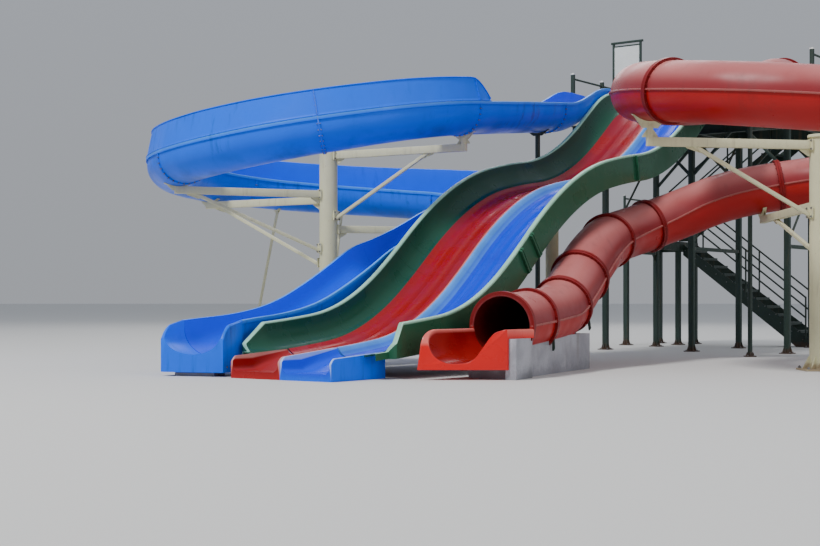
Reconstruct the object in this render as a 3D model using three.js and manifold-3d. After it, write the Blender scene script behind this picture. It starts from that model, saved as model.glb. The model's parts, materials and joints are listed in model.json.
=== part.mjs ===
// A pool-side water slide tower: a raised start deck, an open spiral flume, a two-lane
// racing slide and a closed spiral tube. Millimetres, +Z up. X runs along the pool edge,
// Y away from the pool. The origin is the middle of the open flume's mast foot.
import * as THREE from 'three';
import { mergeVertices } from 'three/addons/utils/BufferGeometryUtils.js';
import Module from 'manifold-3d';

const wasm = await Module();
wasm.setup();

// Driving dimensions
const GAP = 0.3;
const DEG = Math.PI / 180;

const SLIDE_HEADING = 36;         // the racing slide's turn away from the square to the pool
const SLIDE_FOOT = [-180, -7321]; // middle of the racing slide's lower edge

const DECK_TOP = 5150;
const DECK_PLATE = 50;
const DECK_BEAM = { deep: 400, wide: 120 };
const DECK = { left: -2900, right: 2800, front: 13200, back: 16100 };
const POST_ROWS = [-2050, 50, 2200];
const POST_SIZE = 120;
const FRONT_POSTS = 13330;
const BACK_POSTS = 15900;
const RAIL_HEIGHT = 1150;
const RAIL_POST = 80;
const RAIL_PIPE = 48;

const STAIR = { rises: 13, going: 275, width: 900, inner: 16400, outer: 17500 };
const STAIR_TOP = 1200;           // where the upper flight meets its walkway, along the deck
const TREAD = { deep: 265, thick: 40 };

const OPEN_FLUME = { half: 460, depth: 550, straight: 130, wall: 28, lip: 50, lipThick: 20, flange: 36 };
const SPLASH_HEIGHT = 430;
const GUARD_GAP = 3;               // over the lip where it is straightest; less where it twists
const LANE = { half: 930, floor: -520, edge: -420, ridge: -385, shell: 30 };
const LANE_WALL = { rim: 1250, lip: 60, shell: 30, skirt: -500 };
const TUBE = { outer: 460, wall: 28, flange: 515, sides: 16 };
const FLANGE_HALF = 15;
const LEVEL_START = 120;
const EXIT_FOOT = 60;             // clear height below the open flume's last piece
const MAST = { diameter: 350, plate: 620, plateThick: 30 };

const BLUE = 0x1a78e0;
const RED = 0xb8322e;
const GREEN = 0x1f5d4b;
const CREAM = 0xc9c6ab;
const POST_GREEN = 0x23392f;
const CONCRETE = 0xb0abae;
const BOARD = 0xe4e6e4;

const gloss = (color) => new THREE.MeshStandardMaterial({ color, roughness: 0.35, metalness: 0 });
const paint = (color) => new THREE.MeshStandardMaterial({ color, roughness: 0.55, metalness: 0 });
const blueShell = gloss(BLUE);
const redShell = gloss(RED);
const greenShell = gloss(GREEN);
const creamPaint = paint(CREAM);
const greenPaint = paint(POST_GREEN);
const concrete = paint(CONCRETE);
const boardPaint = paint(BOARD);

// Solids joined and cut
function toSolid(geometry) {
  const bare = geometry.clone();
  bare.deleteAttribute('normal');
  bare.deleteAttribute('uv');
  const welded = mergeVertices(bare, 1e-3);
  return new wasm.Manifold(new wasm.Mesh({
    numProp: 3,
    vertProperties: new Float32Array(welded.attributes.position.array),
    triVerts: new Uint32Array(welded.index.array),
  }));
}

function fromSolid(solid) {
  const mesh = solid.getMesh();
  const geometry = new THREE.BufferGeometry();
  geometry.setAttribute('position', new THREE.BufferAttribute(mesh.vertProperties, 3));
  geometry.setIndex(new THREE.BufferAttribute(mesh.triVerts, 1));
  geometry.computeVertexNormals();
  return geometry;
}

const fuse = (...parts) => fromSolid(parts.map(toSolid).reduce((a, b) => a.add(b)));
const cut = (geometry, ...tools) => fromSolid(tools.map(toSolid).reduce((a, b) => a.subtract(b), toSolid(geometry)));

// Plain shapes
function box(x0, y0, z0, x1, y1, z1) {
  const geometry = new THREE.BoxGeometry(x1 - x0, y1 - y0, z1 - z0);
  return geometry.translate((x0 + x1) / 2, (y0 + y1) / 2, (z0 + z1) / 2);
}

const square = (x, y, size, z0, z1) => box(x - size / 2, y - size / 2, z0, x + size / 2, y + size / 2, z1);

// Lays a shape that stands along +Y between two points, its X side level
function along(geometry, from, to) {
  const ahead = new THREE.Vector3().subVectors(to, from).normalize();
  const upright = Math.abs(ahead.z) > 0.999;
  const side = upright ? new THREE.Vector3(1, 0, 0) : new THREE.Vector3().crossVectors(ahead, new THREE.Vector3(0, 0, 1));
  side.normalize();
  const over = new THREE.Vector3().crossVectors(side, ahead);
  const frame = new THREE.Matrix4().makeBasis(side, ahead, over);
  frame.setPosition(new THREE.Vector3().addVectors(from, to).multiplyScalar(0.5));
  return geometry.applyMatrix4(frame);
}

const vec = (x, y, z) => new THREE.Vector3(x, y, z);
const bar = (from, to, wide, deep) => along(new THREE.BoxGeometry(wide, from.distanceTo(to), deep), from, to);
const pipe = (from, to, diameter, sides = 10) =>
  along(new THREE.CylinderGeometry(diameter / 2, diameter / 2, from.distanceTo(to), sides), from, to);

// A flume's line: stretches of { run, turn, slope }, turn in degrees to the left, slope at the
// end of the stretch. Bends are true arcs in plan and the slope changes evenly along them.
class FlumeLine {
  constructor(start, heading, slope, stretches) {
    this.stretches = [];
    let at = { x: start.x, y: start.y, z: start.z, heading: heading * DEG, slope, from: 0 };
    for (const { run, turn = 0, slope: end } of stretches) {
      const stretch = { ...at, run, turn: turn * DEG, change: (end - at.slope) / run };
      this.stretches.push(stretch);
      const next = FlumeLine.step(stretch, run);
      at = { x: next.x, y: next.y, z: next.z, heading: next.heading, slope: end, from: at.from + run };
    }
    this.length = at.from;
  }

  static step(stretch, run) {
    const heading = stretch.heading + stretch.turn * run / stretch.run;
    const turned = heading - stretch.heading;
    const radius = turned === 0 ? 0 : run / turned;
    const dx = turned === 0 ? run * Math.cos(heading) : radius * (Math.sin(heading) - Math.sin(stretch.heading));
    const dy = turned === 0 ? run * Math.sin(heading) : radius * (Math.cos(stretch.heading) - Math.cos(heading));
    const slope = stretch.slope + stretch.change * run;
    return { x: stretch.x + dx, y: stretch.y + dy, z: stretch.z - run * (stretch.slope + slope) / 2, heading, slope };
  }

  // Point, direction, level left and square up at a distance along the plan
  at(distance) {
    const stretch = this.stretches.findLast((s) => distance >= s.from) ?? this.stretches[0];
    const { x, y, z, heading, slope } = FlumeLine.step(stretch, distance - stretch.from);
    const ahead = vec(Math.cos(heading), Math.sin(heading), -slope).normalize();
    const left = vec(-Math.sin(heading), Math.cos(heading), 0);
    return { point: vec(x, y, z), ahead, left, up: new THREE.Vector3().crossVectors(ahead, left) };
  }

  // Where a stretch begins
  mark(index) {
    return index < this.stretches.length ? this.stretches[index].from : this.length;
  }
}

// A piece of a flume line as a three.js curve, with level frames
class FlumeCurve extends THREE.Curve {
  constructor(line, from, to) {
    super();
    this.frame = (t) => line.at(from + (to - from) * t);
  }

  getPoint(t, target = new THREE.Vector3()) {
    return target.copy(this.frame(t).point);
  }

  getSpacedPoints(divisions) {
    return Array.from({ length: divisions + 1 }, (_, i) => this.getPoint(i / divisions));
  }

  computeFrenetFrames(segments) {
    const frames = Array.from({ length: segments + 1 }, (_, i) => this.frame(i / segments));
    return {
      tangents: frames.map((f) => f.ahead),
      normals: frames.map((f) => f.left),
      binormals: frames.map((f) => f.up),
    };
  }
}

// Sweeps a section (x to the left of travel, y up) along a flume line
function sweep(section, line, from, to, step) {
  const steps = Math.max(1, Math.round((to - from) / step));
  return new THREE.ExtrudeGeometry(section, { steps, extrudePath: new FlumeCurve(line, from, to) });
}

const outline = (points) => new THREE.Shape(points.map(([x, y]) => new THREE.Vector2(x, y)));

const ring = (radius, sides) => Array.from({ length: sides }, (_, i) => {
  const angle = (i + 0.5) / sides * 2 * Math.PI;
  return [radius * Math.cos(angle), radius * Math.sin(angle)];
});

const assembly = new THREE.Group();
const tower = new THREE.Group();
tower.position.set(...SLIDE_FOOT, 0);
tower.rotation.z = -SLIDE_HEADING * DEG;
assembly.add(tower);

// Joins rows of equal point counts into a closed skin; caps are the outlines of its two ends
function skin(rows, caps) {
  const count = rows[0].length;
  const index = [];
  for (let i = 0; i + 1 < rows.length; i += 1) {
    for (let j = 0; j < count; j += 1) {
      const [a, b] = [i * count + j, i * count + (j + 1) % count];
      index.push(a, b, b + count, a, b + count, a + count);
    }
  }
  const last = (rows.length - 1) * count;
  for (const [a, b, c] of THREE.ShapeUtils.triangulateShape(caps[0], [])) index.push(a, c, b);
  for (const [a, b, c] of THREE.ShapeUtils.triangulateShape(caps[1], [])) index.push(last + a, last + b, last + c);
  const geometry = new THREE.BufferGeometry();
  geometry.setAttribute('position', new THREE.Float32BufferAttribute(rows.flat().flatMap((p) => p.toArray()), 3));
  geometry.setIndex(index);
  geometry.computeVertexNormals();
  return geometry;
}

// A skin along a line, from the outline (x to the left of travel, y up) at each of its stations
function loft(line, distances, sectionAt) {
  const outlines = distances.map((d) => sectionAt(d).map(([x, y]) => new THREE.Vector2(x, y)));
  if (THREE.ShapeUtils.area(outlines[0]) < 0) outlines.forEach((row) => row.reverse());
  const rows = outlines.map((row, i) => {
    const { point, left, up } = line.at(distances[i]);
    return row.map(({ x, y }) => point.clone().addScaledVector(left, x).addScaledVector(up, y));
  });
  return skin(rows, [outlines[0], outlines.at(-1)]);
}

// Every slide lies level on the deck at its start, so a piece that starts there has a station
// where that ends
function stations(from, to, step) {
  if (from === 0) return [0, ...stations(LEVEL_START, to, step)];
  const count = Math.max(1, Math.round((to - from) / step));
  return Array.from({ length: count + 1 }, (_, i) => from + (to - from) * i / count);
}

// Stations of a piece with flanges about some of its distances, and whether one lies on a flange
const onFlange = (d, flanges) => flanges.some((f) => Math.abs(d - f) < FLANGE_HALF + 1);
function flanged(from, to, step, flanges) {
  const steps = flanges.flatMap((f) => [-1, 1].flatMap((s) => [f + s * FLANGE_HALF, f + s * (FLANGE_HALF + 3)]));
  const plain = stations(from, to, step).filter((d) => !flanges.some((f) => Math.abs(d - f) < 6 * FLANGE_HALF));
  const inside = steps.filter((d) => d > from + 1 && d < to - 1);
  return [from, to, ...plain, ...inside].filter((d, i, all) => all.indexOf(d) === i).sort((a, b) => a - b);
}

// The pieces of a slide between its joints, each with its flanges and stations
function split(joints, step, rings = []) {
  return joints.slice(1).map((to, i) => {
    const piece = { from: joints[i] + (i > 0 ? GAP / 2 : 0), to: to - GAP / 2 };
    const ends = i > 0 ? [piece.from, piece.to] : [piece.to];
    piece.flanges = [...ends, ...rings.filter((r) => r > piece.from && r < piece.to)];
    piece.distances = flanged(piece.from, piece.to, step, piece.flanges);
    return piece;
  });
}

// The space that the pieces near a distance fill, to cut the supports' seats with
function seatTools(line, pieces, from, to, outlineAt) {
  const near = pieces.filter((piece) => piece.from < to + 300 && piece.to > from - 300);
  return near.map((piece) => loft(line, piece.distances, (d) => outlineAt(onFlange(d, piece.flanges))));
}

function add(parent, name, geometry, material) {
  const mesh = new THREE.Mesh(geometry, material);
  mesh.name = name;
  parent.add(mesh);
}

// A point of the deck's frame in the main frame
tower.updateMatrixWorld(true);
const fromDeck = (x, y, z) => vec(x, y, z).applyMatrix4(tower.matrixWorld);

// Start deck: x across the slides, y away from the pool
function startDeck() {
  const beamTop = DECK_TOP - DECK_PLATE - GAP;
  const beamFoot = beamTop - DECK_BEAM.deep;
  add(tower, 'deck_floor', box(DECK.left, DECK.front, DECK_TOP - DECK_PLATE, DECK.right, DECK.back, DECK_TOP), creamPaint);
  const half = DECK_BEAM.wide / 2;
  const parts = [];
  for (const y of [FRONT_POSTS, BACK_POSTS]) {
    parts.push(box(DECK.left, y - half, beamFoot, DECK.right, y + half, beamTop));
    for (const x of POST_ROWS) {
      parts.push(square(x, y, POST_SIZE, 0, beamTop - 10));
      parts.push(square(x, y, 2.2 * POST_SIZE, 0, 20));
    }
    for (let i = 0; i + 1 < POST_ROWS.length; i += 1) {
      const [a, b] = [POST_ROWS[i], POST_ROWS[i + 1]];
      parts.push(bar(vec(a, y, beamFoot - 900), vec(a + 900, y, beamFoot + 60), 60, 60));
      parts.push(bar(vec(b, y, beamFoot - 900), vec(b - 900, y, beamFoot + 60), 60, 60));
    }
  }
  for (const x of POST_ROWS) {
    parts.push(box(x - 50, FRONT_POSTS, beamFoot + 60, x + 50, BACK_POSTS, beamTop - 5));
    parts.push(box(x - 30, FRONT_POSTS, 2200, x + 30, BACK_POSTS, 2280));
    parts.push(bar(vec(x, FRONT_POSTS, 2260), vec(x, BACK_POSTS, beamFoot + 100), 50, 50));
  }
  add(tower, 'tower_frame', fuse(...parts), greenPaint);
}

// A guard rail of posts and two pipes along a straight line of the deck
function guardRail(name, points, foot = DECK_TOP + GAP) {
  const parts = [];
  points.forEach(([x, y], i) => {
    parts.push(square(x, y, RAIL_POST, foot, foot + RAIL_HEIGHT));
    if (i === 0) return;
    const [px, py] = points[i - 1];
    for (const h of [0.12, 0.5, 0.9]) {
      const z = foot + RAIL_HEIGHT * h;
      parts.push(pipe(vec(px, py, z), vec(x, y, z), RAIL_PIPE, 6));
    }
  });
  add(tower, name, fuse(...parts), greenPaint);
}


function railings() {
  const [l, r] = [DECK.left + 50, DECK.right - 50];
  const [f, b] = [DECK.front + 60, DECK.back - 50];
  guardRail('guard_rail_left', [[l, f], [l, (f + b) / 2], [l, b], [-1400, b], [0, b], [STAIR_TOP - 60, b]]);
  guardRail('guard_rail_right', [[r, f], [r, (f + b) / 2], [r, b - 60]]);
}

// A flight of treads between two stringers, with a hand rail on each side
function flight(name, x0, x1, z0, y0) {
  const toward = Math.sign(x1 - x0);
  const y1 = y0 + STAIR.width;
  const rise = DECK_TOP / 2 / STAIR.rises;
  const top = z0 + DECK_TOP / 2;
  const parts = [];
  for (const y of [y0, y1 - 40]) {
    const side = outline([
      [x0, z0 + GAP], [x0 + toward * 380, z0 + GAP], [x1 - toward * GAP, top - 330],
      [x1 - toward * GAP, top - 60], [x0, z0 + 160],
    ]);
    const stringer = new THREE.ExtrudeGeometry(side, { depth: 40, bevelEnabled: false });
    parts.push(stringer.rotateX(Math.PI / 2).translate(0, y + 40, 0));
    const foot = vec(x0 + toward * 150, y + 20, z0 + 100);
    const head = vec(x1 - toward * 150, y + 20, top - 250);
    for (const [point, h] of [[foot, 1100], [foot.clone().lerp(head, 0.5), 1150], [head, 1200]]) {
      parts.push(pipe(point, point.clone().setZ(point.z + h), 44, 6));
    }
    for (const h of [600, 1080]) {
      parts.push(pipe(foot.clone().setZ(foot.z + h), head.clone().setZ(head.z + h + 100), 40, 6));
    }
  }
  for (let i = 1; i < STAIR.rises; i += 1) {
    const x = x0 + toward * STAIR.going * (i - 0.5);
    const z = z0 + rise * i;
    parts.push(box(x - TREAD.deep / 2, y0 + 20, z - TREAD.thick, x + TREAD.deep / 2, y1 - 20, z));
  }
  add(tower, name, fuse(...parts), greenPaint);
}

// A railed landing on posts, its rails on the sides that lead nowhere
function landing(name, x0, x1, y0, y1, top, posts, rails) {
  const parts = [box(x0, y0, top - DECK_PLATE, x1, y1, top)];
  parts.push(box(x0, y0, top - 220, x1, y0 + 60, top - 20), box(x0, y1 - 60, top - 220, x1, y1, top - 20));
  parts.push(box(x0, y0, top - 220, x0 + 60, y1, top - 20), box(x1 - 60, y0, top - 220, x1, y1, top - 20));
  for (const [x, y] of posts) {
    parts.push(square(x, y, POST_SIZE, 0, top - 60));
    parts.push(square(x, y, 2.2 * POST_SIZE, 0, 20));
  }
  for (const [x, y, px, py] of rails) {
    parts.push(square(x, y, 50, top - 20, top + RAIL_HEIGHT), square(px, py, 50, top - 20, top + RAIL_HEIGHT));
    for (const h of [0.5, 0.97]) {
      parts.push(pipe(vec(x, y, top + RAIL_HEIGHT * h), vec(px, py, top + RAIL_HEIGHT * h), 44, 6));
    }
  }
  add(tower, name, fuse(...parts), greenPaint);
}

function stairs() {
  const run = (STAIR.rises - 1) * STAIR.going;
  const low = STAIR_TOP - run;
  const half = DECK_TOP / 2;
  const [near, far] = [STAIR.inner, STAIR.outer + STAIR.width];
  flight('stair_lower_flight', STAIR_TOP, low, 0, STAIR.outer);
  flight('stair_upper_flight', low, STAIR_TOP, half, STAIR.inner);
  const mid = [low - 1100, low - GAP];
  landing('stair_landing', mid[0], mid[1], near, far, half,
    [[mid[0] + 60, near + 60], [mid[1] - 60, near + 960], [mid[0] + 60, far - 60], [mid[1] - 60, far - 60]],
    [[mid[0] + 30, near + 30, mid[0] + 30, far - 30], [mid[0] + 30, far - 30, mid[1] - 30, far - 30]]);
  const [x0, x1, y1] = [STAIR_TOP + GAP, DECK.right, STAIR.inner + STAIR.width + 60];
  landing('top_landing', x0, x1, DECK.back + GAP, y1, DECK_TOP,
    [[x0 + 60, y1 - 60], [x1 - 60, y1 - 60]],
    [[x0 + 30, y1 - 30, x1 - 30, y1 - 30], [x1 - 30, y1 - 30, x1 - 30, DECK.back + 40]]);
}

// A bare notice board on two posts at the back of the deck
function noticeBoard() {
  const [x0, x1, y] = [-2640, -1940, 14850];
  const foot = DECK_TOP + GAP;
  add(tower, 'notice_board', fuse(
    square(x0, y, 50, foot, foot + 2060), square(x1, y, 50, foot, foot + 2060),
    box(x0 - 60, y - 30, foot + 2030, x1 + 60, y + 30, foot + 2080),
    box(x0, y - 10, foot + 1120, x1, y + 10, foot + 1980),
  ), boardPaint);
}

// The U of the open flume, grown outwards by an offset
function troughCurve(offset, top = 0) {
  const half = OPEN_FLUME.half + offset;
  const bowl = OPEN_FLUME.depth - OPEN_FLUME.straight + offset;
  const points = [[half, top]];
  for (let i = 0; i <= 8; i += 1) {
    const angle = Math.PI * i / 8;
    points.push([half * Math.cos(angle), -OPEN_FLUME.straight - bowl * Math.sin(angle)]);
  }
  points.push([-half, top]);
  return points;
}

function troughSection(flange) {
  const { half, wall, lip, lipThick } = OPEN_FLUME;
  const edge = half + lip + flange / 2;
  return [...troughCurve(0), [-edge, 0], [-edge, -lipThick - flange],
    ...troughCurve(wall + flange, -lipThick - flange).reverse(), [edge, -lipThick - flange], [edge, 0]];
}

// A crescent that the trough lies in, down to a flat sole
function saddleSection(offset, sole, wide) {
  const points = troughCurve(offset).filter(([x, y]) => Math.abs(x) < wide && y < -OPEN_FLUME.straight - 100);
  return outline([...points, [points.at(-1)[0], sole], [points[0][0], sole]]);
}

const bend = (radius, turn, slope) => ({ run: radius * Math.abs(turn) * DEG, turn, slope });

// Open spiral: off the deck, once round its mast, then a steep run to the pool
const OPEN_BEND = 2950;
const OPEN_TOUCH = -29.8;         // where the lead-in meets the bend, round the mast
const OPEN_LEAD = 7040;
const openHeading = OPEN_TOUCH - 90;
const openStart = vec(
  OPEN_BEND * Math.cos(OPEN_TOUCH * DEG) - OPEN_LEAD * Math.cos(openHeading * DEG),
  OPEN_BEND * Math.sin(OPEN_TOUCH * DEG) - OPEN_LEAD * Math.sin(openHeading * DEG),
  DECK_TOP + 2 * GAP + OPEN_FLUME.depth + OPEN_FLUME.wall,
);
const openLine = new FlumeLine(openStart, openHeading, 0, [
  { run: LEVEL_START, slope: 0 },
  { run: 1080, slope: 0.05 },
  { run: 800, slope: 0.38 },
  { run: 600, slope: 0.36 },
  { run: 700, slope: 0.11 },
  { run: 3740, slope: 0.12 },
  bend(OPEN_BEND, -40.6, 0.185),
  bend(OPEN_BEND, -45, 0.15),
  bend(OPEN_BEND, -45, 0.03),
  bend(OPEN_BEND, -50, 0.045),
  bend(OPEN_BEND, -50, 0.06),
  bend(OPEN_BEND, -50.4, 0.09),
  { run: 530, slope: 0.10 },
  bend(1600, -85.7, 0.20),
  { run: 900, slope: 0.42 },
  { run: 900, slope: 0.34 },
  { run: 700, slope: 0.26 },
  { run: 600, slope: 0.56 },
  { run: 1300, slope: 0.42 },
  { run: 900, slope: 0.18 },
  { run: 800, slope: 0.08 },
  bend(2500, 18, 0.06),
  { run: 650, slope: 0.30 },
]);
const openBendAt = (degrees) => OPEN_LEAD + OPEN_BEND * degrees * DEG;
const OPEN_JOINTS = [0, 3550, openBendAt(5), openBendAt(60), openBendAt(120), openBendAt(200),
  openLine.mark(13), openLine.mark(14) + 2450, openLine.mark(20) + 300, openLine.mark(22) - GAP / 2];

const openPieces = split(OPEN_JOINTS, 600);

function openFlume() {
  openPieces.forEach((piece, i) => {
    const section = (d) => troughSection(onFlange(d, piece.flanges) ? OPEN_FLUME.flange : 0);
    add(assembly, `open_flume_${i + 1}`, loft(openLine, piece.distances, section), blueShell);
  });
}

const openSeat = (from, to) => seatTools(openLine, openPieces, from, to,
  (flange) => troughCurve(OPEN_FLUME.wall + GAP + (flange ? OPEN_FLUME.flange : 0), 5));

// The open flume's last piece: a box with a rounded front, and the flume's U running out through it
function openExit() {
  const from = openLine.mark(22);
  const start = openLine.at(from);
  const heading = Math.atan2(start.ahead.y, start.ahead.x) / DEG;
  const rim = start.point.z;
  const length = openLine.length - from;
  const line = new FlumeLine(start.point.clone().setZ(0).addScaledVector(start.left, 0), heading, 0, [{ run: length, slope: 0 }]);
  const half = OPEN_FLUME.half + OPEN_FLUME.lip;
  const topAt = (d) => rim - 0.16 * d - Math.max(0, d - length + 260) ** 2 / 420;
  const block = loft(line, [GAP, length - 260, length - 160, length - 90, length - 40, length],
    (d) => [[-half, EXIT_FOOT], [half, EXIT_FOOT], [half, topAt(d)], [-half, topAt(d)]]);
  const channel = loft(line, [-40, 0, length / 2, length + 20], (d) => {
    const part = d / length;
    const depth = 1 - 0.33 * part;
    const lift = rim - 130 * part;
    return [...troughCurve(0).slice(1, -1), [-OPEN_FLUME.half, 400], [OPEN_FLUME.half, 400]].map(([x, y]) => [x, lift + y * depth]);
  });
  add(assembly, 'open_exit', cut(block, channel), blueShell);
  const { point } = line.at(length / 2 + 60);
  const foot = box(-320, -180, 0, 320, 180, EXIT_FOOT - GAP).rotateZ((heading - 90) * DEG);
  add(assembly, 'open_exit_foot', foot.translate(point.x, point.y, 0), concrete);
}

// A guard along the outer lip that leans in over the flume
function splashSection(height) {
  const { half, lip } = OPEN_FLUME;
  const lean = 85 * height / SPLASH_HEIGHT;
  return [
    [half + 10, -30], [half + lip, -30], [half + lip, 16], [half + 34, 16],
    [half + 34 - lean, height - 16], [half + 50 - lean, height - 16], [half + 50 - lean, height], [half + 10 - lean, height],
  ];
}

function splashGuard(name, from, to, rise, fall) {
  const low = 60;
  const peakAt = (d) => SPLASH_HEIGHT + 75 * THREE.MathUtils.clamp((d - OPEN_LEAD) / 5000, 0, 1);
  const heightAt = (d) => {
    const up = rise > 0 ? Math.min(1, (d - from) / rise) : 1;
    const down = fall > 0 ? Math.min(1, (to - d) / fall) : 1;
    return low + (peakAt(d) - low) * Math.sin(Math.min(up, down) * Math.PI / 2);
  };
  const ends = [];
  for (let i = 0; i < 4; i += 1) {
    if (rise > 0) ends.push(from + rise * i / 4);
    if (fall > 0) ends.push(to - fall * i / 4);
  }
  const middle = stations(from + rise, to - fall, 400);
  const distances = [...new Set([...ends, ...middle, from, to])].sort((a, b) => a - b);
  const guard = loft(openLine, distances, (d) => splashSection(heightAt(d)));
  const { half, lip } = OPEN_FLUME;
  const rim = [[half - 60, -80], [half + lip + 60, -80], [half + lip + 60, GUARD_GAP], [half - 60, GUARD_GAP]];
  const lips = seatTools(openLine, openPieces, from, to, () => rim);
  const joints = OPEN_JOINTS.filter((d) => d > from && d < to).map((d) => loft(openLine, [d - 4, d + 4], () => rim));
  add(assembly, name, cut(guard, ...lips, ...joints), blueShell);
}

// Mast foot at a point, with its base plate
function mast(x, y, top, diameter = MAST.diameter) {
  const plate = diameter + MAST.plate - MAST.diameter;
  return fuse(
    pipe(vec(x, y, 0), vec(x, y, top), diameter, 24),
    square(x, y, plate, 0, MAST.plateThick),
    pipe(vec(x, y, top - 20), vec(x, y, top + 25), diameter + 60, 24),
  );
}

const mastTool = (x, y) => pipe(vec(x, y, -500), vec(x, y, 7000), MAST.diameter + 2 * GAP, 24);

const saddle = (line, distance, wide, sole, top, half = 40) => sweep(
  outline([[-wide, sole], [wide, sole], [wide, top], [-wide, top]]), line, distance - half, distance + half, 2 * half);

// An arm out from a mast, with its brace and the saddle that a flume lies in
function arm({ x, y, line, distance, wide, sole, top, seat, low, level = 0, braceAt = 0.75, brace = 60 }) {
  const { point, up } = line.at(distance);
  const head = point.clone().addScaledVector(up, sole + 10);
  const root = vec(x, y, level || head.z);
  const tip = head.clone().setZ(root.z);
  const parts = [
    bar(root, tip, 100, 140),
    bar(tip.clone().setZ(tip.z - 60), head.clone().setZ(head.z + 40), 90, 90),
    saddle(line, distance, wide, sole, top),
    bar(vec(x, y, low), root.clone().lerp(tip, braceAt), brace, brace),
  ];
  const stub = new THREE.Vector3().subVectors(tip, root).setZ(0).normalize();
  for (const z of [root.z, low + 40]) {
    const from = vec(x, y, z);
    parts.push(bar(from, from.clone().addScaledVector(stub, MAST.diameter / 2 + 22), 150, 140));
  }
  return cut(fuse(...parts), mastTool(x, y), ...seat);
}

// A plain leg under a flume, upright or leaning
function leg(name, { line, distance, wide, sole, top, seat, diameter, lean = [0, 0], material = creamPaint }) {
  const { point, up } = line.at(distance);
  const head = point.clone().addScaledVector(up, sole + 15);
  const foot = vec(head.x + lean[0], head.y + lean[1], 0);
  const parts = [
    pipe(foot.clone().setZ(5), head, diameter, 12),
    square(foot.x, foot.y, diameter + 120, 0, 20),
    saddle(line, distance, wide, sole, top, 35),
  ];
  add(assembly, name, cut(fuse(...parts), box(-20000, -20000, -900, 20000, 20000, 0), ...seat), material);
}

function openSupports() {
  const top = 4060;
  add(assembly, 'open_mast', mast(0, 0, top), creamPaint);
  const under = -(OPEN_FLUME.depth + OPEN_FLUME.wall);
  const arms = [
    ['right', openBendAt(2), 2700, 3900, 0.75], ['front_left', openBendAt(128), 2080, 0, 0.9],
    ['back_left', openBendAt(182), 1800, 0, 0.9], ['lower_right', openLine.mark(13) + 1500, 1500, 0, 0.75],
  ];
  for (const [name, distance, low, level, braceAt] of arms) {
    const seat = openSeat(distance, distance);
    const spec = { x: 0, y: 0, line: openLine, distance, wide: 380, sole: under - 80, top: -350, seat, low, level, braceAt };
    add(assembly, `open_arm_${name}`, arm(spec), creamPaint);
  }
  const legs = [
    ['open_leg_back_left', openBendAt(216), 60, [-560, 0], 200, creamPaint],
    ['open_leg_back_right', openBendAt(243), 60, [-330, 0], 200, creamPaint],
    ['open_post_start', 3900, 100, [0, 0], 380, greenPaint],
    ['open_post_run', openLine.mark(14) + 3300, 140, [0, 0], 380, creamPaint],
  ];
  for (const [name, distance, diameter, lean, wide, material] of legs) {
    const seat = openSeat(distance, distance);
    leg(name, { line: openLine, distance, wide, sole: under - 60, top: -350, seat, diameter, lean, material });
  }
}

// Racing slide: its line is the rim of the side walls, in the deck's frame
const RACE_TOP = 13300;
const raceLine = new FlumeLine(vec(0, RACE_TOP, DECK_TOP + GAP - LANE.floor + LANE.shell), -90, 0, [
  { run: LEVEL_START, slope: 0 },
  { run: 1180, slope: 0.22 },
  { run: 800, slope: 0.75 },
  { run: 600, slope: 0.72 },
  { run: 2200, slope: 0.13 },
  { run: 1200, slope: 0.22 },
  { run: 2700, slope: 0.82 },
  { run: 700, slope: 0.72 },
  { run: 1800, slope: 0.12 },
  { run: 2000, slope: 0.04 },
]);
const RACE_JOINT = 6600;
const LANE_END = 1100;            // where the lanes run out into their trays
const LANE_TRAY = 1220;           // length of those trays

// Half of the lane bed, from the ridge to the wall
function laneSection(side) {
  const { half, floor, edge, ridge, shell } = LANE;
  const above = [[GAP / 2, ridge], [40, ridge - 6], [110, -480], [190, floor], [740, floor], [840, -490], [half, edge]];
  const below = [
    [half, edge - shell - 4], [842, -522], [744, floor - shell], [186, floor - shell], [84, -500], [GAP / 2, ridge - 45],
  ];
  return [...above, ...below].map(([x, y]) => [side * x, y]);
}

// The tray at a lane's foot: a block to the ground, hollowed by a channel that widens to its lip
const laneTrayLine = new FlumeLine(vec(0, LANE_END - GAP, 0), -90, 0, [{ run: LANE_TRAY - GAP, slope: 0 }]);

function laneTray(side) {
  const topAt = (d, back) => back - (back - 315) * d / LANE_TRAY - Math.max(0, d - LANE_TRAY + 90) ** 2 / 120;
  const blockAt = (d) => [[GAP / 2, 0], [LANE.half, 0], [LANE.half, topAt(d, 385)], [GAP / 2, topAt(d, 420)]];
  const back = [[40, 500], [40, 390], [110, 310], [190, 282], [740, 282], [840, 310], [920, 380], [925, 500]];
  const lip = [[34, 500], [36, 290], [62, 140], [120, 100], [830, 100], [880, 140], [896, 290], [900, 500]];
  const channelAt = (d) => back.map(([x, y], i) => {
    const part = Math.min(1, Math.max(0, d / 800));
    return [side * (x + (lip[i][0] - x) * part), y + (lip[i][1] - y) * part];
  });
  const block = loft(laneTrayLine, [0, 600, LANE_TRAY - 90, LANE_TRAY - 40, LANE_TRAY - GAP], (d) => blockAt(d).map(([x, y]) => [side * x, y]));
  return cut(block, loft(laneTrayLine, [-10, 0, 200, 400, 600, 800, LANE_TRAY + 20], channelAt));
}

const bedSpans = {
  upper: stations(0, RACE_JOINT, 500),
  lower: stations(RACE_JOINT + GAP, RACE_TOP - LANE_END - GAP, 500),
};

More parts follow.
